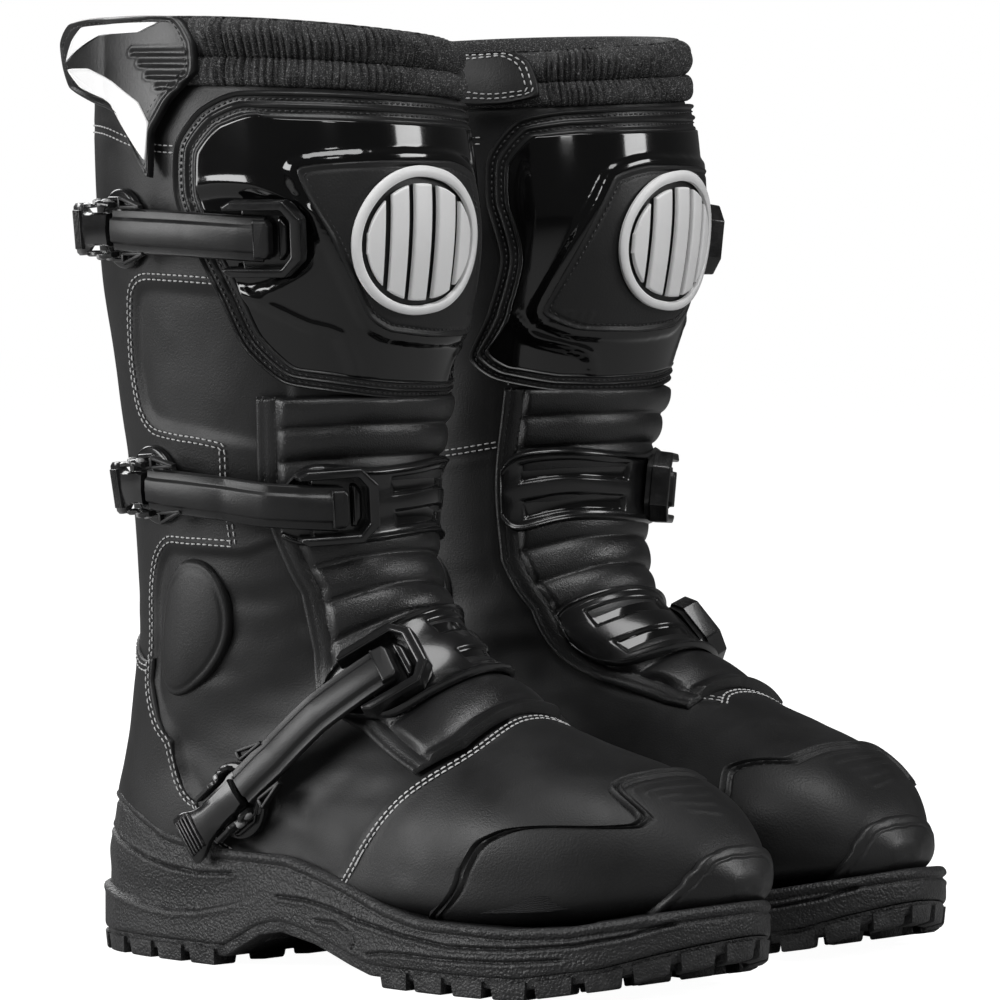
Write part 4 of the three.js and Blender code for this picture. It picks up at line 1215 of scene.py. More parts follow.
@dataclass
class ShinPadding:
    """Quilted padding over the front of the ankle and instep."""

    pitch: float = 13.0
    band: float = 8.0
    top: float = 2.15
    bottom: float = 9.3
    pressure: float = 4.0
    last_frame: int = 14
    most: float = 0.9
    outer_edge: tuple = ((2.15, 62), (2.9, 61), (3.5, 56), (4.3, 49), (5.5, 50), (6.5, 53), (8, 52), (9.3, 56))
    inner_edge: tuple = ((2.15, -56), (4, -56), (5.1, -46), (7.9, -40), (9, -34), (9.3, -30))
    rows: int = 230
    columns: int = 120

    def grid(self) -> tuple[Array, Array, Array, Array]:
        """Rows, angles, distance down the front and distance from the nearer side."""
        fine = np.linspace(self.top, self.bottom, 900)
        gone = travelled(FORM.point(fine, 30.0 + 0 * fine))
        u0 = np.interp(np.linspace(0, gone[-1], self.rows), gone, fine)
        s = eased(self.columns - 6)
        high, low = curve(self.outer_edge, u0)[:, None], curve(self.inner_edge, u0)[:, None]
        a = low + (high - low) * s[None]
        t = (u0 - self.top) / (self.bottom - self.top)
        reach = np.clip((t - 0.85) / 0.15, 0, 1)[:, None]
        u = u0[:, None] + reach * curve(((-35, 0.5), (5, 0.4), (37, 0.55), (60, 0.15)), a)
        down = travelled(FORM.point(u0, 5.0 + 0 * u0))
        far = travelled(FORM.point(u, a), 1)
        return u, a, np.repeat(down[:, None], len(s), 1), np.minimum(far, far[:, -1:] - far)

    def build(self, pair: Pair) -> None:
        """Makes the padding on both boots and lets its cover swell between the seams."""
        u, a, down, side = self.grid()
        phase = (down + 2.0 * np.cos(np.radians(a * 1.4))) / self.pitch
        rib = np.clip(np.abs(np.sin(math.pi * phase)) - 0.14, 0, 1) / 0.86
        inside = smooth(side, self.band - 0.4, self.band + 3.5)
        groove = ridge(side, self.band, 0.7, 1.0) + ridge(side, 3.2, 0.6, 0.7)
        face = 2.5 + inside * (0.4 + 2.1 * rib ** 0.6) - 0.55 * groove
        face += 0.22 * soft_noise(FORM.point(u, a), 8, 8) * inside * rib
        body = slab(u, a, 0.4, face, 1.4)
        body = self.swollen(body, inside * smooth(rib, 0.05, 0.4))
        pair.put("quilted_padding", body, Finishes.GRAINED, "shin_padding")
        rows = []
        for edge, sign in ((self.outer_edge, -1), (self.inner_edge, 1)):
            line = Track.through(edge)
            for offset in (3.2, self.band):
                rows.append(stitches(line, sign * offset, 2.05, 2.7, 1.9, 0.6))
        for k in range(1, int(phase.max())):
            line = self.seam(u, a, phase, side, k)
            if len(line.u) > 20:
                rows.append(stitches(line, 0.9, 3.05, 2.6, 1.8, 0.6))
        pair.put("padding_stitching", Shell.join(rows), Finishes.BLACK_THREAD)

    def seam(self, u: Array, a: Array, phase: Array, side: Array, number: int) -> Track:
        """The line of one seam between two rolls.

        Args:
            u: Rows of the padding's grid.
            a: Angles of the grid.
            phase: How many rolls lie above each point.
            side: Distance of each point from the nearer side.
            number: Which seam.

        Returns:
            The seam, kept clear of the side bands.
        """
        at_u, at_a = [], []
        rows = np.arange(len(u))
        for column in range(u.shape[1]):
            row = float(np.interp(number, phase[:, column], rows))
            if 1 < row < len(u) - 2 and side[int(row), column] > self.band + 2.0:
                at_u.append(np.interp(row, rows, u[:, column]))
                at_a.append(np.interp(row, rows, a[:, column]))
        return Track(np.array(at_u), np.array(at_a))

    def swollen(self, body: Shell, free: Array) -> Shell:
        """The padding after its cover has swelled under pressure.

        Args:
            body: The closed padding.
            free: How free each point of its face is, from 0 to 1.

        Returns:
            The padding with its new shape.
        """
        n = free.size
        mesh = bpy.data.meshes.new("swelling")
        mesh.from_pydata((body.points * MM).tolist(), [], body.quads.tolist())
        piece = bpy.data.objects.new("swelling", mesh)
        bpy.context.scene.collection.objects.link(piece)
        group = piece.vertex_groups.new(name="held")
        held = np.concatenate([1 - free.ravel(), np.ones(len(body.points) - n)])
        for level in np.unique(np.round(held, 1)):
            chosen = np.where(np.round(held, 1) == level)[0]
            if level > 0:
                group.add(chosen.tolist(), float(level), "REPLACE")
        cloth = piece.modifiers.new("cover", "CLOTH")
        settings = cloth.settings
        settings.quality = 4
        settings.mass = 0.15
        settings.effector_weights.gravity = 0
        settings.use_pressure = True
        settings.uniform_pressure_force = self.pressure
        settings.vertex_group_mass = "held"
        settings.tension_stiffness = settings.compression_stiffness = 12
        settings.shear_stiffness = 6
        settings.bending_stiffness = 0.4
        cloth.collision_settings.use_collision = False
        scene = bpy.context.scene
        for number in range(1, self.last_frame + 1):
            scene.frame_set(number)
        seen = piece.evaluated_get(bpy.context.evaluated_depsgraph_get()).data
        moved = np.zeros(len(body.points) * 3, np.float32)
        seen.vertices.foreach_get("co", moved)
        scene.frame_set(1)
        bpy.data.objects.remove(piece)
        change = moved.reshape(-1, 3) / MM - body.points
        size = np.linalg.norm(change, axis=1, keepdims=True)
        change *= np.minimum(1.0, self.most / np.maximum(size, 1e-9))
        change[n:] = 0
        return Shell(body.points + change, body.quads, body.tris, body.tint)


# ------------------------------------------------------------------ shin guard and badge
@dataclass
class ShinGuard:
    """The glossy shin plate in its stitched rubber frame, with the emblem's panel and disc."""

    outline: tuple = (
        (0.45, 66), (0.44, 44), (0.44, 17), (0.44, -12), (0.45, -38), (0.5, -54), (0.68, -64), (0.95, -65),
        (1.28, -60), (1.62, -64), (1.92, -70), (2.08, -60), (2.17, -38), (2.19, -14), (2.17, 10), (2.11, 34),
        (2.04, 52), (1.8, 66), (1.5, 74), (1.2, 82), (0.92, 87), (0.68, 86), (0.53, 78))
    panel: tuple = (
        (0.8, 47), (0.75, 20), (0.74, -6), (0.8, -20), (1.1, -30), (1.6, -44), (1.72, -30), (1.74, -4), (1.7, 14),
        (1.6, 23), (1.15, 37))
    pocket: tuple = ((0.93, 82), (0.9, 62), (1.04, 44), (1.3, 44), (1.45, 60), (1.42, 82))
    lower_facet: tuple = ((1.42, 78), (1.55, 60), (1.68, 44), (1.74, 33), (1.95, 27), (2.3, 25), (2.3, 60), (1.9, 78))
    inner_facet: tuple = ((1.5, -80), (1.62, -58), (1.8, -46), (1.92, -24), (2.3, -22), (2.3, -60), (2.0, -80))
    centre: tuple = (1.18, 6.0)
    disc: float = 26.8
    oval: float = 1.15

    def plate(self, border: Track) -> Shell:
        """The moulded shin plate."""
        panel = Track.through(self.panel, closed=True, tension=0.25, step=0.4)
        hollows = [(Track.through(corners, closed=True, tension=0.3, step=0.4), width, height)
                   for corners, width, height in ((self.pocket, 1.3, 0.7), (self.lower_facet, 1.2, 0.8),
                                                  (self.inner_facet, 1.2, 0.8))]

        def face(u: Array, a: Array, far: Array) -> Array:
            """Height of the plate's face."""
            p = FORM.point(u, a)
            h = 3.5 + 0 * far
            signed = -panel.depth(u, a, p, 14)
            h = h + 1.5 * (1 - smooth(signed, 1.5, 4.2)) - 0.9 * (1 - smooth(signed, -1.4, -0.6))
            h = h + 1.0 * (1 - smooth(u, 0.66, 0.74)) * (1 - smooth(signed, -2, 0))
            for hollow, width, height in hollows:
                into = hollow.depth(u, a, p, 8)
                h = h - 1.3 * smooth(into, -0.6, 1.6) + ridge(into, -1.9, width, height)
            return h + 0.12 * soft_noise(p, 30, 21)

        return pad(border, 1.0, face, 1.1, rings=140, soft=5)

    def emblem(self) -> Shell:
        """A plain ring round a ribbed disc."""
        u0, a0 = self.centre
        along, around, _ = FORM.slopes(np.array(u0), np.array(a0))
        to_u, to_a = 1 / np.linalg.norm(along), 1 / np.linalg.norm(around)
        turn = np.linspace(0, 2 * math.pi, 121)[:-1]
        rings = []
        for inset, lift in ((0, 6.0), (0, 7.4), (0.5, 7.9), (3.0, 7.9), (3.5, 7.4), (3.5, 6.0)):
            p, q = (self.disc - inset) * np.cos(turn), (self.disc - inset) * np.sin(turn)
            rings.append(FORM.skin(u0 + q * to_u, a0 + p * to_a * self.oval, lift))
        parts = [lofted(rings, closed=True)]
        reach, count, gap = self.disc - 5.6, 5, 2.4
        wide = (2 * reach - gap * (count - 1)) / count
        for k in range(count):
            x = -reach + k * (wide + gap) + wide * eased(10, 0.03)
            near = np.clip(x, -reach + 0.35, reach - 0.35)
            tall = np.sqrt(reach ** 2 - near ** 2)
            s = eased(34, 0.012) * 2 - 1
            p, q = np.repeat(x[None], len(s), 0), s[:, None] * tall[None]
            parts.append(slab(u0 + q * to_u, a0 + p * to_a * self.oval, 6.0, 7.9, 0.7, thin=0.9))
        return Shell.join(parts)

    def build(self, pair: Pair) -> None:
        """Makes the shin guard on both boots."""
        outer = Track.through(self.outline, closed=True, tension=0.35, count=640)
        inner = outer.inward(8.4)
        profile = ((0, 0.5), (0, 2.0), (0.03, 2.9), (0.09, 3.3), (0.15, 2.9), (0.19, 2.1), (0.33, 1.9), (0.40, 2.1),
                   (0.44, 2.9), (0.50, 3.2), (0.56, 2.9), (0.60, 2.2), (0.72, 2.0), (0.80, 2.1), (0.84, 2.7),
                   (0.90, 2.9), (0.97, 2.6), (1, 1.8))
        pair.put("shin_frame_rubber", band(outer, inner, 0.3, profile), Finishes.FRAME, "shin_frame")
        rows = [stitches(outer.inward(8.4 * share), 0, 2.2, 2.5, 1.7, 0.7) for share in (0.28, 0.68)]
        pair.put("shin_frame_stitching", Shell.join(rows), Finishes.BLACK_THREAD)
        pair.put("shin_plate_gloss", self.plate(outer.inward(7.7)), Finishes.GLOSS, "shin_plate")
        border = Track.through(self.panel, closed=True, tension=0.2, count=420)
        ribs = [Track.through([(1.60, -36 + k * 3.6), (1.70, -38 + k * 3.6)], step=0.4) for k in range(4)]

        def face(u: Array, a: Array, far: Array) -> Array:
            """Height of the panel with its rim and small ribs."""
            h = 4.9 + ridge(far, 1.2, 0.7, 0.8) - ridge(far, 3.0, 0.6, 0.35) + 0.2 * smooth(far, 3.6, 4.4)
            p = FORM.point(u, a)
            for rib in ribs:
                h = h + ridge(rib.distance(p, 3.0), 0, 0.8, 0.6)
            return h

        pair.put("emblem_panel_cover", pad(border, 3.2, face, 0.8, rings=90), Finishes.PANEL, "emblem_panel")
        thread = stitches(border.inward(3.1), 0, 4.85, 2.4, 1.6, 0.6)
        pair.put("emblem_panel_stitching", thread, Finishes.BLACK_THREAD)
        pair.put("emblem_disc", self.emblem(), Finishes.WHITE, "emblem")


@dataclass
class CuffBadge:
    """The flared rubber badge at the top of the outer side."""

    outline: tuple = (
        (0.3, 137), (0.16, 141), (0.03, 131), (0, 118), (0, 96), (0.02, 82), (0.2, 77), (0.36, 77), (0.5, 86),
        (0.64, 91), (0.84, 92), (0.72, 97), (0.56, 104), (0.5, 116), (0.42, 130))
    upper_flash: tuple = (
        (0.285, 132.5), (0.17, 128), (0.075, 121), (0.065, 104), (0.065, 88), (0.135, 94), (0.14, 106), (0.15, 114),
        (0.2, 122))
    lower_flash: tuple = (
        (0.325, 131), (0.33, 118), (0.4, 106), (0.5, 95), (0.6, 91.5), (0.76, 92.8), (0.68, 96), (0.56, 100.5),
        (0.48, 110), (0.42, 122))
    ribs: tuple = ((0.255, 97), (0.315, 94), (0.375, 91.5), (0.43, 89))

    @staticmethod
    def flare(a: Array) -> Array:
        """How far the badge stands off towards the back."""
        return np.maximum(0, (a - 110) / 30) * 7

    def build(self, pair: Pair) -> None:
        """Makes the badge on both boots."""
        loop = Track.through(self.outline, closed=True, tension=0.25, count=300)
        slots = [Track.through([(u, a), (u + 0.004, 79.5)], step=0.6) for u, a in self.ribs]

        def face(u: Array, a: Array, far: Array) -> Array:
            """Height of the badge's face."""
            h = 6.0 + self.flare(a) + ridge(far, 1.5, 0.9, 0.9) - ridge(far, 3.4, 0.7, 0.45)
            p = FORM.point(u, a)
            for slot in slots:
                near = slot.distance(p, 4.0)
                h = h - ridge(near, 0, 0.8, 0.9) + ridge(near, 1.8, 0.7, 0.35)
            return h

        def level(height: float) -> Callable[..., Array]:
            """A way to get a height that follows the badge's flare."""
            def at(u: Array, a: Array, far: Optional[Array] = None) -> Array:
                """Height at an angle."""
                return height + self.flare(a)
            return at

        pair.put("badge_rubber", pad(loop, level(3.6), face, 1.0, rings=60), Finishes.FRAME, "cuff_badge")
        flashes = []
        for corners in (self.upper_flash, self.lower_flash):
            line = Track.through(corners, closed=True, tension=0.12, count=160)
            flashes.append(pad(line, level(5.6), level(6.75), 0.5, rings=12))
        pair.put("badge_flashes", Shell.join(flashes), Finishes.WHITE)
        inner = loop.inward(3.4)
        pair.put("badge_stitching", stitches(inner, 0, 5.85 + self.flare(inner.even(2.7).a), 2.7, 1.8, 0.6),
                 Finishes.BLACK_THREAD)


# ------------------------------------------------------------------ heel, toe and ankle
@dataclass
class FootGuards:
    """The heel stay, the toe cover, the toe bumper and the ankle discs."""

    heel_edge: tuple = ((4.3, 115.4), (4.62, 115.4), (5.2, 107.4), (5.72, 98.4), (7.0, 91.4), (7.4, 92.5))
    toe_edge: tuple = (
        (-180, 10.7), (-110, 11.05), (-67, 11.35), (-53, 11.2), (-46, 11.5), (-36, 12.1), (-20, 12.2), (10, 12.25),
        (22, 12.2), (32, 12.2), (40, 12.6), (47, 12.95), (57, 12.9), (64, 12.4), (68, 11.3), (77, 10.9),
        (120, 10.5), (180, 10.4))
    bumper_edge: tuple = (
        (-180, 12.4), (-134, 13.3), (-100, 13.75), (-79, 14.0), (-37, 14.25), (0, 14.3), (40, 14.25), (79, 14.05),
        (100, 13.7), (134, 13.2), (180, 12.4))
    disc: tuple = (4.3, 94.0, 0.76, 16.0)

    @staticmethod
    def at_sole(a: Array) -> Array:
        """Row where the back of the leather meets the midsole."""
        low, high = np.full(np.shape(a), 4.6), np.full(np.shape(a), 7.3)
        for _ in range(22):
            middle = (low + high) / 2
            p = FORM.skin(middle, a, 1.4)
            above = p[..., 2] > curve(Sole.wall_top, MID_LENGTH - p[..., 1]) - 2.0
            low, high = np.where(above, middle, low), np.where(above, high, middle)
        return low

    @staticmethod
    def heel_top(a: Array) -> Array:
        """Row of the stay's upper edge, lowest at the sides."""
        return 3.95 + 0.42 * smooth(np.abs(np.asarray(a) - 180.0), 22, 64)

    def heel(self) -> Shell:
        """The stay round the heel."""
        rows, s = eased(60, 0.01), eased(110)
        start = np.full(len(rows), 112.0)
        for _ in range(12):
            top = self.heel_top(start)
            start = 0.5 * start + 0.5 * curve(self.heel_edge, top + rows * (self.at_sole(start) - top))
        start = start[:, None]
        a = start + (360 - 2 * start) * s[None]
        top = self.heel_top(a)
        grid_u = top + rows[:, None] * (self.at_sole(a) - top)
        p = FORM.point(grid_u, a)
        return slab(grid_u, a, -0.2, 1.25 + 0.3 * soft_noise(p, 24, 31) + 0.12 * soft_noise(p, 8, 33), 0.9)

    def toe(self) -> Shell:
        """The toe cover with its raised edge and ribs."""
        dense = np.linspace(-180, 180, 721)
        kernel = np.exp(-np.linspace(-2.2, 2.2, 25) ** 2)
        edge = np.convolve(np.pad(curve(self.toe_edge, dense), 12, mode="edge"), kernel / kernel.sum(), "valid")
        guide = dense_angles(-150, 150)
        first = np.interp(guide, dense, edge)
        rows = np.concatenate([np.linspace(0, 0.3, 60), np.linspace(0.32, 1, 50)])
        u, a = even_grid(lambda t, g: (first + (14.9 - first) * t, g), rows, 300, guide)
        p = FORM.point(u, a)
        gone = travelled(p)
        h = 1.4 + ridge(gone, 1.1, 0.8, 1.1) - ridge(gone, 2.7, 0.7, 0.7) + ridge(gone, 4.3, 0.8, 0.9)
        h = h - ridge(gone, 5.9, 0.7, 0.6) + 0.16 * soft_noise(p, 22, 41)
        for k in range(5):
            span = smooth(a, -22 + 3 * k, -14 + 3 * k) * (1 - smooth(a, 24 - 3 * k, 32 - 3 * k))
            h = h + span * ridge(gone, 9.0 + 5.2 * k, 0.9, 0.55)
        return slab(u, a, -0.3, h, 0.8)

    def bumper(self) -> Shell:
        """The rubber bumper round the tip of the toe."""
        a = np.linspace(-180, 180, 181)[:-1]
        start = curve(self.bumper_edge, a)
        rings = []
        for share in np.concatenate([np.linspace(0, 0.12, 7), np.linspace(0.16, 1, 34)]):
            u = start + (15 - start) * share
            p = FORM.point(u, a)
            far = np.linalg.norm(p - FORM.point(start, a), axis=1)
            lift = 0.5 + 3.5 * shoulder(far, 1.9) + ridge(far, 5.0, 0.7, -0.45) * smooth(share, 0.02, 0.1)
            rings.append(FORM.skin(u, a, lift))
        rings = [FORM.skin(start, a, -0.5)] + rings
        tip = rings[-1]
        centre = tip.mean(0)
        out = unit(np.array([-0.05, -1.0, 0.05]))
        for share in (0.8, 0.55, 0.3):
            rings.append(centre + (tip - centre) * share + out * (1 - share ** 2) * 1.2)
        return lofted(rings)

    def ankle(self, side: int) -> Shell:
        """A domed ankle disc."""
        u0, a0, du, da = self.disc
        turn = np.linspace(0, 2 * math.pi, 200, endpoint=False)
        loop = Track(u0 + du * np.cos(turn), side * (a0 + da * np.sin(turn)), True)

        def face(u: Array, a: Array, far: Array) -> Array:
            """Height of the disc's dome."""
            dome = 1 - np.clip(((u - u0) / du) ** 2 + ((a - side * a0) / da) ** 2, 0, 1)
            return 0.3 + 0.7 * smooth(far, 0, 1.5) - ridge(far, 3.0, 0.8, 0.6) + 2.4 * dome ** 0.8

        return pad(loop, -1.6, face, 1.2, rings=40)

    def build(self, pair: Pair) -> None:
        """Makes the guards on both boots."""
        pair.put("heel_stay", self.heel(), Finishes.LEATHER, "heel_counter")
        back = [(float(self.heel_top(np.array(a))), a) for a in range(122, 241, 6)]
        line = Track.through(back)
        pair.put("heel_stay_stitching", Shell.join([stitches(line, s, 1.45, 3.0, 2.1) for s in (-1.9, -4.1)]),
                 Finishes.THREAD)
        pair.put("toe_cover", self.toe(), Finishes.CAP, "toe_cap")
        pair.put("toe_bumper_rubber", self.bumper(), Finishes.BUMPER, "toe_bumper")
        pair.put("ankle_disc_outer", self.ankle(1), Finishes.LEATHER, "ankle_guard_outer")
        pair.put("ankle_disc_inner", self.ankle(-1), Finishes.LEATHER, "ankle_guard_inner")


# ------------------------------------------------------------------ sole
@dataclass
class Sole:
    """The moulded midsole and the lugged outsole."""

    # length along the boot, inner edge, outer edge
    outline: ClassVar[tuple] = (
        (5, -6, 6), (7, -17, 17), (11, -26, 26), (18, -33, 33), (30, -39, 40), (50, -43, 45), (70, -44, 47),
        (90, -43.5, 48.5), (110, -43, 50), (132, -44, 52), (155, -46, 54.5), (178, -49, 57.5), (200, -51.5, 60),
        (220, -53, 61), (240, -53.5, 60), (262, -52, 55), (282, -47, 46), (294, -41, 36.5), (302, -35, 28),
        (309, -26.5, 16), (313, -19, 5), (315, -12, -4))
    # length along the boot, height
    wall_top: ClassVar[tuple] = (
        (0, 63), (32, 63), (50, 56), (64, 50), (98, 45.5), (133, 45.5), (150, 42), (165, 38.5), (190, 31),
        (209, 27.5), (252, 26.5), (274, 28), (300, 33), (320, 37))
    underside: ClassVar[tuple] = (
        (0, 12), (12, 8), (98, 8), (106, 12), (118, 18), (130, 20), (150, 17), (170, 11), (182, 8), (255, 8),
        (285, 13), (320, 25))
    grooves: ClassVar[tuple] = (
        ((0, 49.5), (20, 47.2), (36, 43.1), (51, 39.1), (66, 36.3), (83, 35.1), (102, 36.1)), ((130, 29.6),
        (146, 29.4), (161, 27.5), (176, 24.2), (202, 20.5), (225, 18.3), (253, 19.0), (277, 21.5), (294, 25.5),
        (304, 29.5)), ((152, 22.2), (163, 22.3), (172, 19.2), (175, 16.4), (173, 13.1)), ((182, 11.9), (189, 13.0),
        (201, 13.6), (225, 13.4), (250, 14.0), (272, 16.0)))
    shelf: ClassVar[tuple] = (
        (0, 27.5), (20, 25.0), (33, 22.7), (51, 20.4), (67, 19.3), (83, 20.5), (99, 23.7), (113, 27.0))
    hexagon: tuple = ((-1, 0), (-0.5, -1), (0.5, -1), (1, 0), (0.5, 1), (-0.5, 1))
    middle_lugs: tuple = (26, 39, 52, 65, 78, 90, 196, 207, 220, 233, 246, 259, 272, 284)
    arch_bars: tuple = (112, 124, 136, 148, 160, 172)
    lug_pitch: float = 18.6
    lug_length: float = 15.8
    count: int = 800

    @classmethod
    def edges(cls, f: Lift) -> tuple[Array, Array]:
        """The sole's inner and outer edge at a length."""
        rows = np.asarray(cls.outline, float)
        return curve(rows[:, :2], f), curve(rows[:, ::2], f)

    def ring(self) -> tuple[Array, Array]:
        """The sole's outline and its inward directions, evenly spaced, as x and length."""
        rows = np.asarray(self.outline, float)
        loop = np.vstack([np.stack([rows[:, 2], rows[:, 0]], -1), np.stack([rows[::-1, 1], rows[::-1, 0]], -1)])
        full = np.vstack([loop, loop[:1]])
        gone = travelled(full)
        at = np.linspace(0, gone[-1], self.count, endpoint=False)
        out = np.stack([np.interp(at, gone, full[:, k]) for k in (0, 1)], -1)
        for _ in range(14):
            out = blended(out)
        t = unit(np.roll(out, -1, 0) - np.roll(out, 1, 0))
        n = np.stack([-t[:, 1], t[:, 0]], -1)
        if float(np.mean(np.einsum("ij,ij->i", n, out.mean(0) - out))) < 0:
            n = -n
        return out, n

    def side_distance(self, f: Array, z: Array, line: Sequence[Sequence[float]]) -> Array:
        """Distance in the side view from a line of length and height."""
        pts = np.asarray(line, float)
        best = np.full(f.shape, 99.0)
        for (x0, y0), (x1, y1) in zip(pts[:-1], pts[1:]):
            length = (x1 - x0) ** 2 + (y1 - y0) ** 2
            s = np.clip(((f - x0) * (x1 - x0) + (z - y0) * (y1 - y0)) / length, 0, 1)
            best = np.minimum(best, np.hypot(f - x0 - s * (x1 - x0), z - y0 - s * (y1 - y0)))
        return best

    def midsole(self) -> Shell:
        """The wall with its grooves, shelf and rolled lip."""
        loop, n = self.ring()
        f = loop[:, 1]
        under, top = curve(self.underside, f), curve(self.wall_top, f)
        for _ in range(12):
            under, top = blended(under), blended(top)
        back = 1 - smooth(f, 8, 48)
        heel = 1 - smooth(f, 96, 120)
        shelf = curve(self.shelf, f)

        def place(inset: Array, z: Array) -> Array:
            """A ring of places set in from the outline."""
            return np.stack([loop[:, 0] + n[:, 0] * inset, MID_LENGTH - (f + n[:, 1] * inset), z], -1)

        rings = [place(7.0 + 0 * f, under + 0.2), place(2.4 + 0 * f, under)]
        for share in np.linspace(0, 1, 78):
            z = under + (top - under) * share
            low_round = 1.6 * (1 - shoulder(z - under, 2.6))
            high_round = 1.5 * (1 - shoulder(top - z, 1.8))
            lean = (0.6 + 4.4 * back) * smooth(share, 0.35, 1.0)
            step = 2.3 * heel * smooth(z - shelf, -0.5, 0.7) * (1 - smooth(z - shelf, 4, 16) * 0.75)
            step = step - heel * ridge(z - shelf, -1.6, 1.1, 0.5)
            cut = 0 * f
            for k, line in enumerate(self.grooves):
                far = self.side_distance(f, z, line)
                cut = cut + ridge(far, 0, 0.62, 1.3 if k < 2 else 1.0) - ridge(far, 1.6, 0.8, 0.35)
            lip = ridge(top - z, 4.4, 0.8, 0.8) - ridge(top - z, 1.9, 1.2, 0.5)
            rings.append(place(np.maximum(0.02, 0.5 + low_round + high_round + lean + step + cut + lip), z))
        reach = 0.6 + 4.4 * back + 1.9
        fore = smooth(f, 150, 200)
        for extra, drop in ((1.2, 0.15), (3.0 + 3.5 * back + 4 * fore, 0.6),
                            (4.2 + 4.5 * back + 9 * fore, 3.0 - 2.2 * fore)):
            rings.append(place(reach + extra, top - drop))
        rings.append(place(reach + 5.5 + 4.5 * back + 9.5 * fore, np.minimum(top - 5, 30.0)))
        return filled(rings)

    def sunk(self, corners: Array, low: float, high: float, bevel: float, draft: float) -> Shell:
        """A block hanging below the midsole's underside.

        Args:
            corners: Its outline as x and length.
            low: Depth of its top below the underside.
            high: Depth of its face.
            bevel: Roundness of its lower edges.
            draft: How much it narrows downwards.

        Returns:
            A closed shell.
        """
        flat = Seat(np.zeros(3), np.array([1.0, 0, 0]), np.array([0, 1.0, 0]), np.array([0, 0, 1.0]))
        body = flat.block(corners, low, high, bevel, 0.0, draft)
        x, f, depth = body.points.T
        z = curve(self.underside, f) - depth
        return Shell.of(np.stack([x, MID_LENGTH - f, np.maximum(z, 0.0)], -1), body.quads, body.tris)

    def outsole(self) -> Shell:
        """The tread plate, edge lugs with notches, middle lugs and arch bars."""
        loop, n = self.ring()
        rim = loop + n * 1.7
        parts = [self.sunk(rim[::2], -0.2, 4.2, 0.8, 0.5)]
        gone = travelled(loop)
        for first in self.lug_pitch * np.arange(int(gone[-1] / self.lug_pitch)):
            chosen = np.where((gone >= first) & (gone <= first + self.lug_length))[0][::2]
            middle = float(loop[chosen, 1].mean())
            if 100 < middle < 182:
                continue
            outer = loop[chosen] + n[chosen] * 0.6
            deep = 13.0 if 30 < middle < 280 else 9.5
            inner = loop[chosen] + n[chosen] * deep
            parts.append(self.sunk(np.vstack([outer, inner[::-1]]), 1.4, 8.0, 0.9, 0.6))
            bite = outer[len(outer) // 2]
            way = n[chosen][len(outer) // 2]
            across = np.array([-way[1], way[0]]) * 0.9
            near, far = bite + way * 2.5, bite + way * (deep - 2)
            parts.append(self.sunk(np.array([near - across, far - across, far + across, near + across]),
                                   7.2, 8.0, 0.2, 0.1))
        for k, f in enumerate(self.middle_lugs):
            low, high = (float(x) for x in self.edges(f))
            half = min(11.0, (high - low) * 0.12)
            for shift in ((-0.5, 0.5) if k % 2 else (0.0,)):
                x = (low + high) / 2 + shift * (half * 2 + 3.0)
                corners = [(x + half * r, f + 4.6 * q) for r, q in self.hexagon]
                parts.append(self.sunk(np.array(corners), 2.8, 7.8, 0.9, 0.7))
        for f in self.arch_bars:
            low, high = (float(x) for x in self.edges(f))
            corners = [(low + 12, f - 2), (high - 12, f - 2), (high - 12, f + 2), (low + 12, f + 2)]
            parts.append(self.sunk(np.array(corners), 2.6, 4.8, 0.6, 0.5))
        return Shell.join(parts)

    def build(self, pair: Pair) -> None:
        """Makes the sole on both boots."""
        pair.put("midsole_rubber", self.midsole(), Finishes.SOLE, "midsole")
        pair.put("tread", self.outsole(), Finishes.SOLE, "outsole")


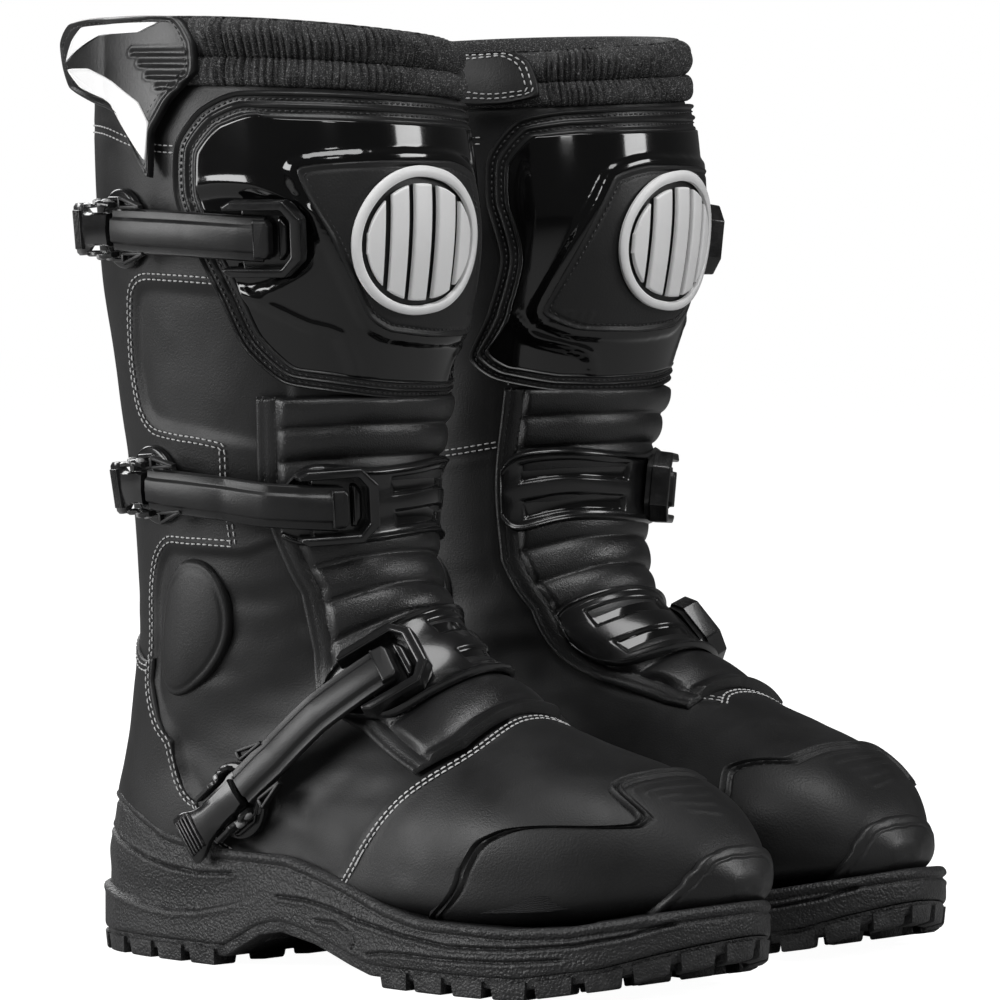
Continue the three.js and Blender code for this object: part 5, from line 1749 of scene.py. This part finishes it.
# ------------------------------------------------------------------ buckles
@dataclass
class Buckle:
    """One buckled strap: its seat and front plate, strap, lever and catch."""

    name: str
    holder: tuple          # row and angle of the seat
    seat: float            # height of the seat's face
    width: float           # of the strap
    reach: tuple           # angles where the strap comes down and where it ends
    rows: tuple            # rows of the strap at its seat and at its end
    lever_end: float       # angle of the lever's tip
    catch_at: tuple        # row and angle of the catch
    front: tuple = ()      # angle, upper row and lower row of the front plate's edges
    windows: tuple = ()    # angles and shares across that bound the sunken windows
    hexagon: tuple = ((-16.5, -7.5), (-11, -14), (6.5, -14), (9, -11), (9, 11), (6.5, 14), (-11, 14), (-16.5, 7.5))

    def row_at(self, a: float) -> float:
        """Row of the strap's middle at an angle."""
        return self.rows[0] + (self.rows[1] - self.rows[0]) * (a - self.holder[1]) / (self.reach[1] - self.holder[1])

    def plate(self) -> Shell:
        """The rimmed plate across the front with its sunken windows."""
        edges = np.asarray(self.front, float)
        s = eased(150)
        t = np.concatenate([np.linspace(0, 0.12, 10), np.linspace(0.14, 0.86, 60), np.linspace(0.88, 1, 10)])
        a = edges[0, 0] + (edges[-1, 0] - edges[0, 0]) * s
        lines = [Track.through(edges[:, [column, 0]], step=0.5) for column in (1, 2)]
        top, bottom = (np.interp(a, line.a, line.u) for line in lines)
        u = top[None] + (bottom - top)[None] * t[:, None]
        a = np.repeat(a[None], len(t), 0)
        gone = travelled(FORM.point(u, a))
        near = np.minimum(gone, gone[-1:] - gone)
        h = 6.0 + ridge(near, 1.4, 1.0, 1.3)
        tint = np.zeros(u.shape, np.int32)
        share = gone / gone[-1:]
        for low_a, high_a, low_t, high_t in self.windows:
            skew = 3.0 * (share - 0.5)
            inside = np.minimum.reduce([
                smooth(a, low_a - 1 + skew, low_a + 1 + skew), 1 - smooth(a, high_a - 1 - skew, high_a + 1 - skew),
                smooth(share, low_t - 0.02, low_t + 0.03), 1 - smooth(share, high_t - 0.03, high_t + 0.02)])
            h = h - 1.5 * inside
            tint = np.where(inside > 0.6, 1, tint)
        body = slab(u, a, 4.4, h + ridge(share, 0.5, 0.2, 0.7), 1.1)
        cells = (tint[:-1, :-1] + tint[1:, 1:] >= 2).astype(np.int32).ravel()
        body.tint[:len(cells)] = cells
        return body

    def seat_parts(self) -> Shell:
        """The hexagonal seat with its raised open rim."""
        place = Seat.on(*self.holder, row_step=0.02 if self.name == "lower" else 0.0)
        base = self.seat
        parts = [place.block(self.hexagon, base - 1.6, base + 1.5, 0.9, 2.0, 0.8)]
        inner = ((14, 10.6), (-9, 10.6), (-12.4, 6.6), (-12.4, -6.6), (-9, -10.6), (14, -10.6))
        outer = ((14.5, -12.4), (11, -14.6), (-10.4, -14.6), (-17, -8), (-17, 8), (-10.4, 14.6), (11, 14.6),
                 (14.5, 12.4))
        parts.append(place.block(outer + inner, base + 0.8, base + 8.0, 0.8, 0.6, 0.3))
        parts.append(place.block(((-11.4, -5), (-9, -8.6), (-6.2, -8.6), (-6.2, 8.6), (-9, 8.6), (-11.4, 5)),
                                 base + 0.8, base + 4.2, 1.2, 1.2, 0.8))
        return Shell.join(parts)

    def strap(self) -> Shell:
        """The strap with its raised middle and wedge-shaped end."""
        lift = self.seat + 6
        start, to = self.holder[1] - 1.6, self.reach[1]
        stations = []
        for a in np.linspace(start, to + 1.5, 44):
            settle = min(1.0, max(0.0, (a - self.reach[0]) / 16))
            low = lift - 2 + (7 - lift + 2) * settle
            wide = self.width * (1 - 0.05 * smooth(np.array(a), to - 8, to))
            stations.append([self.row_at(a), a, float(wide), low, low + 4])
        section = ((-0.93, 0.02), (-1, 0.2), (-1, 0.52), (-0.93, 0.7), (-0.66, 0.72), (-0.6, 0.78), (-0.54, 1.02),
                   (-0.46, 1.1), (0, 1.14), (0.46, 1.1), (0.54, 1.02), (0.6, 0.78), (0.66, 0.72), (0.93, 0.7),
                   (1, 0.52), (1, 0.2), (0.93, 0.02))
        place = Seat.on(self.row_at(self.holder[1]), self.holder[1])
        outline = ((-5.4, -5.4), (-3.8, -7.7), (2.5, -7.9), (2.5, 7.9), (-3.8, 7.7), (-5.4, 5.4))
        wedge = place.block(outline, lift - 1.0, lift + 2.9, 0.9, 0.8, 0.7)
        return Shell.join([bar(stations, section), wedge] + self.wings())

    def wings(self) -> list[Shell]:
        """The open triangular wings beside the strap's far end."""
        end = Seat.on(self.row_at(self.reach[1] - 1.0), self.reach[1] - 1.0)
        parts = []
        for side in (-1, 1):
            corners = np.array([(-13.0, side * 8.9), (-0.8, side * 8.9), (-0.8, side * 12.6)])
            for first, last in zip(corners, np.roll(corners, -1, 0)):
                way = unit(last - first)
                across = np.array([-way[1], way[0]]) * 0.65
                corners_of_bar = (first + across, last + across, last - across, first - across)
                parts.append(end.block(corners_of_bar, 7.7, 10.0, 0.4))
        return parts

    def seat_at(self, a: float) -> Seat:
        """The lever's seat at an angle."""
        return Seat.on(self.row_at(min(a, self.reach[1] + 6)), a)

    def lever(self) -> tuple[Shell, Shell]:
        """The lever with cheeks, thumb tab and ribs, and its pins."""
        start = self.reach[1] + 3.2
        span = self.lever_end - start
        angles = np.linspace(start, self.lever_end, 16)
        body = []
        for k, a in enumerate(angles):
            s = k / 15
            wide = 12.6 + 7.6 * float(smooth(np.array(s), 0.5, 0.82))
            body.append([self.row_at(min(a, self.reach[1] + 6)), a, wide, 6.6 + 0.6 * (s == 0), 11.6 - 1.0 * s])
        section = ((-0.9, 0), (-1, 0.25), (-1, 0.7), (-0.88, 0.94), (-0.5, 1.0), (0, 1.05), (0.5, 1.0), (0.88, 0.94),
                   (1, 0.7), (1, 0.25), (0.9, 0))
        parts = [bar(body, section)]
        for side in (-1, 1):
            cheek = []
            for k in range(12):
                s = k / 11
                a = start - 1.2 + span * 0.62 * s
                seat = self.seat_at(a)
                high = 10.6 + ridge(s, 0.22, 0.16, 2.6) + ridge(s, 0.78, 0.14, 1.4)
                wide = 8.3 + ridge(s, 0.25, 0.2, 0.9)
                box = [(side * wide, 7.0), (side * (wide + 1.9), 7.3), (side * (wide + 2.1), high - 0.8),
                       (side * (wide + 1.5), high), (side * (wide + 0.4), high), (side * (wide - 0.1), high - 0.7)]
                cheek.append(np.array([seat.place(np.array([0.0, y, z])) for y, z in box]))
            parts.append(lofted(cheek))
        for k in range(5):
            a = start + span * (0.66 + 0.065 * k)
            seat = self.seat_at(a)
            rib = ((-0.55, -7.6), (0.55, -7.6), (0.55, 7.6), (-0.55, 7.6))
            parts.append(seat.block(rib, 9.6, 11.9 - 0.1 * k, 0.4, 0.3))
        pins = []
        for share, lift in ((0.14, 9.6), (0.5, 9.2)):
            a = start - 1.2 + span * 0.62 * share
            seat = self.seat_at(a)
            turn = np.linspace(0, 2 * math.pi, 20, endpoint=False)
            for side in (-1, 1):
                rings = []
                for out, r in ((9.6, 1.9), (11.0, 1.9), (11.5, 1.6), (11.8, 1.0), (11.9, 0.3)):
                    circle = [np.cos(turn) * r, np.full(20, side * out), lift + np.sin(turn) * r]
                    rings.append(seat.place(np.stack(circle, -1)))
                pins.append(lofted(rings))
        return Shell.join(parts), Shell.join(pins)

    def catch(self) -> Shell:
        """The catch's stepped base with its hooked posts."""
        place = Seat.on(*self.catch_at)
        turn = np.linspace(0, 2 * math.pi, 48, endpoint=False)
        oval = np.stack([np.cos(turn), np.sin(turn)], -1)
        parts = [place.block(oval * [13.8, 15.4], 0.2, 3.2, 1.1), place.block(oval * [11.6, 12.4], 2.4, 3.9, 0.8)]
        for side in (-1, 1):
            post = ((-7, side * 10.4), (7, side * 10.4), (5, side * 12.6), (-5, side * 12.6))
            parts.append(place.block(post, 2.6, 5.0, 0.7, 0.8))
        return Shell.join(parts)

    def build(self, pair: Pair) -> None:
        """Makes the buckle on both boots."""
        parts = [self.seat_parts()]
        if self.front:
            parts.append(self.plate())
        name = self.name
        pair.put(f"{name}_buckle_seat", Shell.join(parts), (Finishes.SATIN, Finishes.GLOSS), f"{name}_holder")
        pair.put(f"{name}_buckle_strap", self.strap(), Finishes.STRAP, f"{name}_strap", Place.STRAP, name)
        lever, pins = self.lever()
        pair.put(f"{name}_buckle_lever", lever, Finishes.SATIN, f"{name}_lever", Place.LEVER, name)
        pair.put(f"{name}_lever_pins", pins, Finishes.PIN, "", Place.LEVER, name)
        pair.put(f"{name}_buckle_catch", self.catch(), Finishes.SATIN, f"{name}_catch")


BUCKLES = (
    Buckle("upper", (1.15, 58.0), 4.4, 17.0, (64.0, 102.0), (1.15, 1.1), 128.0, (1.1, 107.0)),
    Buckle("middle", (3.16, 31.0), 7.2, 17.0, (55.0, 98.0), (3.18, 2.88), 122.0, (2.86, 104.0),
           ((-53, 2.9, 3.45), (-46, 2.72, 3.66), (-24, 2.68, 3.62), (12, 2.76, 3.72), (40, 2.72, 3.66),
            (52, 3.0, 3.5)),
           ((-44, 4, 0.16, 0.40), (-44, 4, 0.62, 0.85))),
    Buckle("lower", (7.22, 33.0), 7.2, 16.0, (54.0, 80.0), (7.22, 7.5), 97.0, (7.5, 87.0),
           ((-37, 5.5, 6.7), (-33, 5.3, 7.9), (-20, 5.3, 8.3), (4, 5.5, 8.4), (28, 5.6, 8.45), (44, 6.1, 8.3),
            (52, 6.8, 7.4)), ((-26, 8, 0.16, 0.38), (-26, 8, 0.62, 0.84))),
)


# ------------------------------------------------------------------ studio
@dataclass
class Studio:
    """Pale floor, soft light and the camera."""

    eye: tuple = (-1.8199, -1.6061, 0.278)
    target: tuple = (-0.028, -0.0095, 0.178)
    lens: float = 222.7
    # name, place, width and height, power
    lights: tuple = (
        ("top_softbox", (-0.5, -0.6, 2.2), (1.5, 0.9), 28), ("left_window", (-2.0, 0.5, 1.0), (0.9, 0.6), 17),
        ("left_sheen", (-1.5, 1.3, 0.5), (0.8, 1.0), 17), ("right_window", (1.1, -1.8, 1.0), (0.8, 0.6), 14),
        ("back_rim", (0.6, 2.0, 1.3), (1.4, 1.0), 22), ("front_fill", (-1.6, -2.4, 1.5), (0.5, 0.5), 7))

    def floor(self) -> None:
        """A wide pale floor."""
        mesh = bpy.data.meshes.new("floor")
        mesh.from_pydata([(-9, -9, 0), (9, -9, 0), (9, 9, 0), (-9, 9, 0)], [], [(0, 1, 2, 3)])
        plane = bpy.data.objects.new("floor", mesh)
        bpy.context.scene.collection.objects.link(plane)
        material = bpy.data.materials.new("pale_floor")
        material.use_nodes = True
        material.node_tree.nodes.clear()
        bench = Bench(material.node_tree)
        matt = bench.add("ShaderNodeBsdfDiffuse", {"Color": (0.34, 0.34, 0.34, 1)})
        path = bench.add("ShaderNodeLightPath")
        seen = bench.math("MULTIPLY", path.outputs["Is Camera Ray"], 0.975)
        glow = bench.add("ShaderNodeEmission", {"Color": (1, 1, 1, 1), "Strength": seen})
        both = bench.add("ShaderNodeAddShader", {0: matt.outputs[0], 1: glow.outputs[0]})
        bench.add("ShaderNodeOutputMaterial", {0: both.outputs[0]})
        mesh.materials.append(material)

    @staticmethod
    def turned(thing: bpy.types.Object, place: tuple, aim: tuple) -> None:
        """Puts a light or a camera at a place, looking at another."""
        thing.location = place
        thing.rotation_euler = (Vector(aim) - Vector(place)).to_track_quat("-Z", "Y").to_euler()
        bpy.context.scene.collection.objects.link(thing)

    def light(self, name: str, place: tuple, size: tuple, power: float) -> None:
        """One soft rectangular light."""
        data = bpy.data.lights.new(name, "AREA")
        data.shape = "RECTANGLE"
        data.size, data.size_y = size
        data.energy = power
        self.turned(bpy.data.objects.new(name, data), place, (0.0, 0.0, 0.18))

    def build(self) -> None:
        """Sets up the world, the lights, the floor and the camera."""
        world = bpy.data.worlds.new("studio")
        world.use_nodes = True
        bench = Bench(world.node_tree)
        world.node_tree.nodes.clear()
        dim = bench.add("ShaderNodeBackground", {"Color": (1, 1, 1, 1), "Strength": 0.07})
        bright = bench.add("ShaderNodeBackground", {"Color": (1, 1, 1, 1), "Strength": 1.0})
        path = bench.add("ShaderNodeLightPath")
        both = bench.add("ShaderNodeMixShader", {0: path.outputs["Is Camera Ray"], 1: dim.outputs[0],
                                                 2: bright.outputs[0]})
        bench.add("ShaderNodeOutputWorld", {0: both.outputs[0]})
        bpy.context.scene.world = world
        for name, place, size, power in self.lights:
            self.light(name, place, size, power)
        self.floor()
        camera = bpy.data.cameras.new("camera")
        camera.lens, camera.sensor_width = self.lens, 36.0
        camera.clip_end = 30
        eye = bpy.data.objects.new("camera", camera)
        self.turned(eye, self.eye, self.target)
        bpy.context.scene.camera = eye
        bpy.context.scene.view_settings.view_transform = "Standard"


def main() -> None:
    """Builds the boots and their studio in order."""
    logging.basicConfig(level=logging.INFO, format="%(message)s")
    Studio().build()
    pair = Pair()
    for part in (LeatherUpper(), Collar(), ShinPadding(), ShinGuard(), CuffBadge(), FootGuards(), Sole(), *BUCKLES):
        part.build(pair)
    log.info("%d pieces", pair.made)


if __name__ == "__main__":
    main()
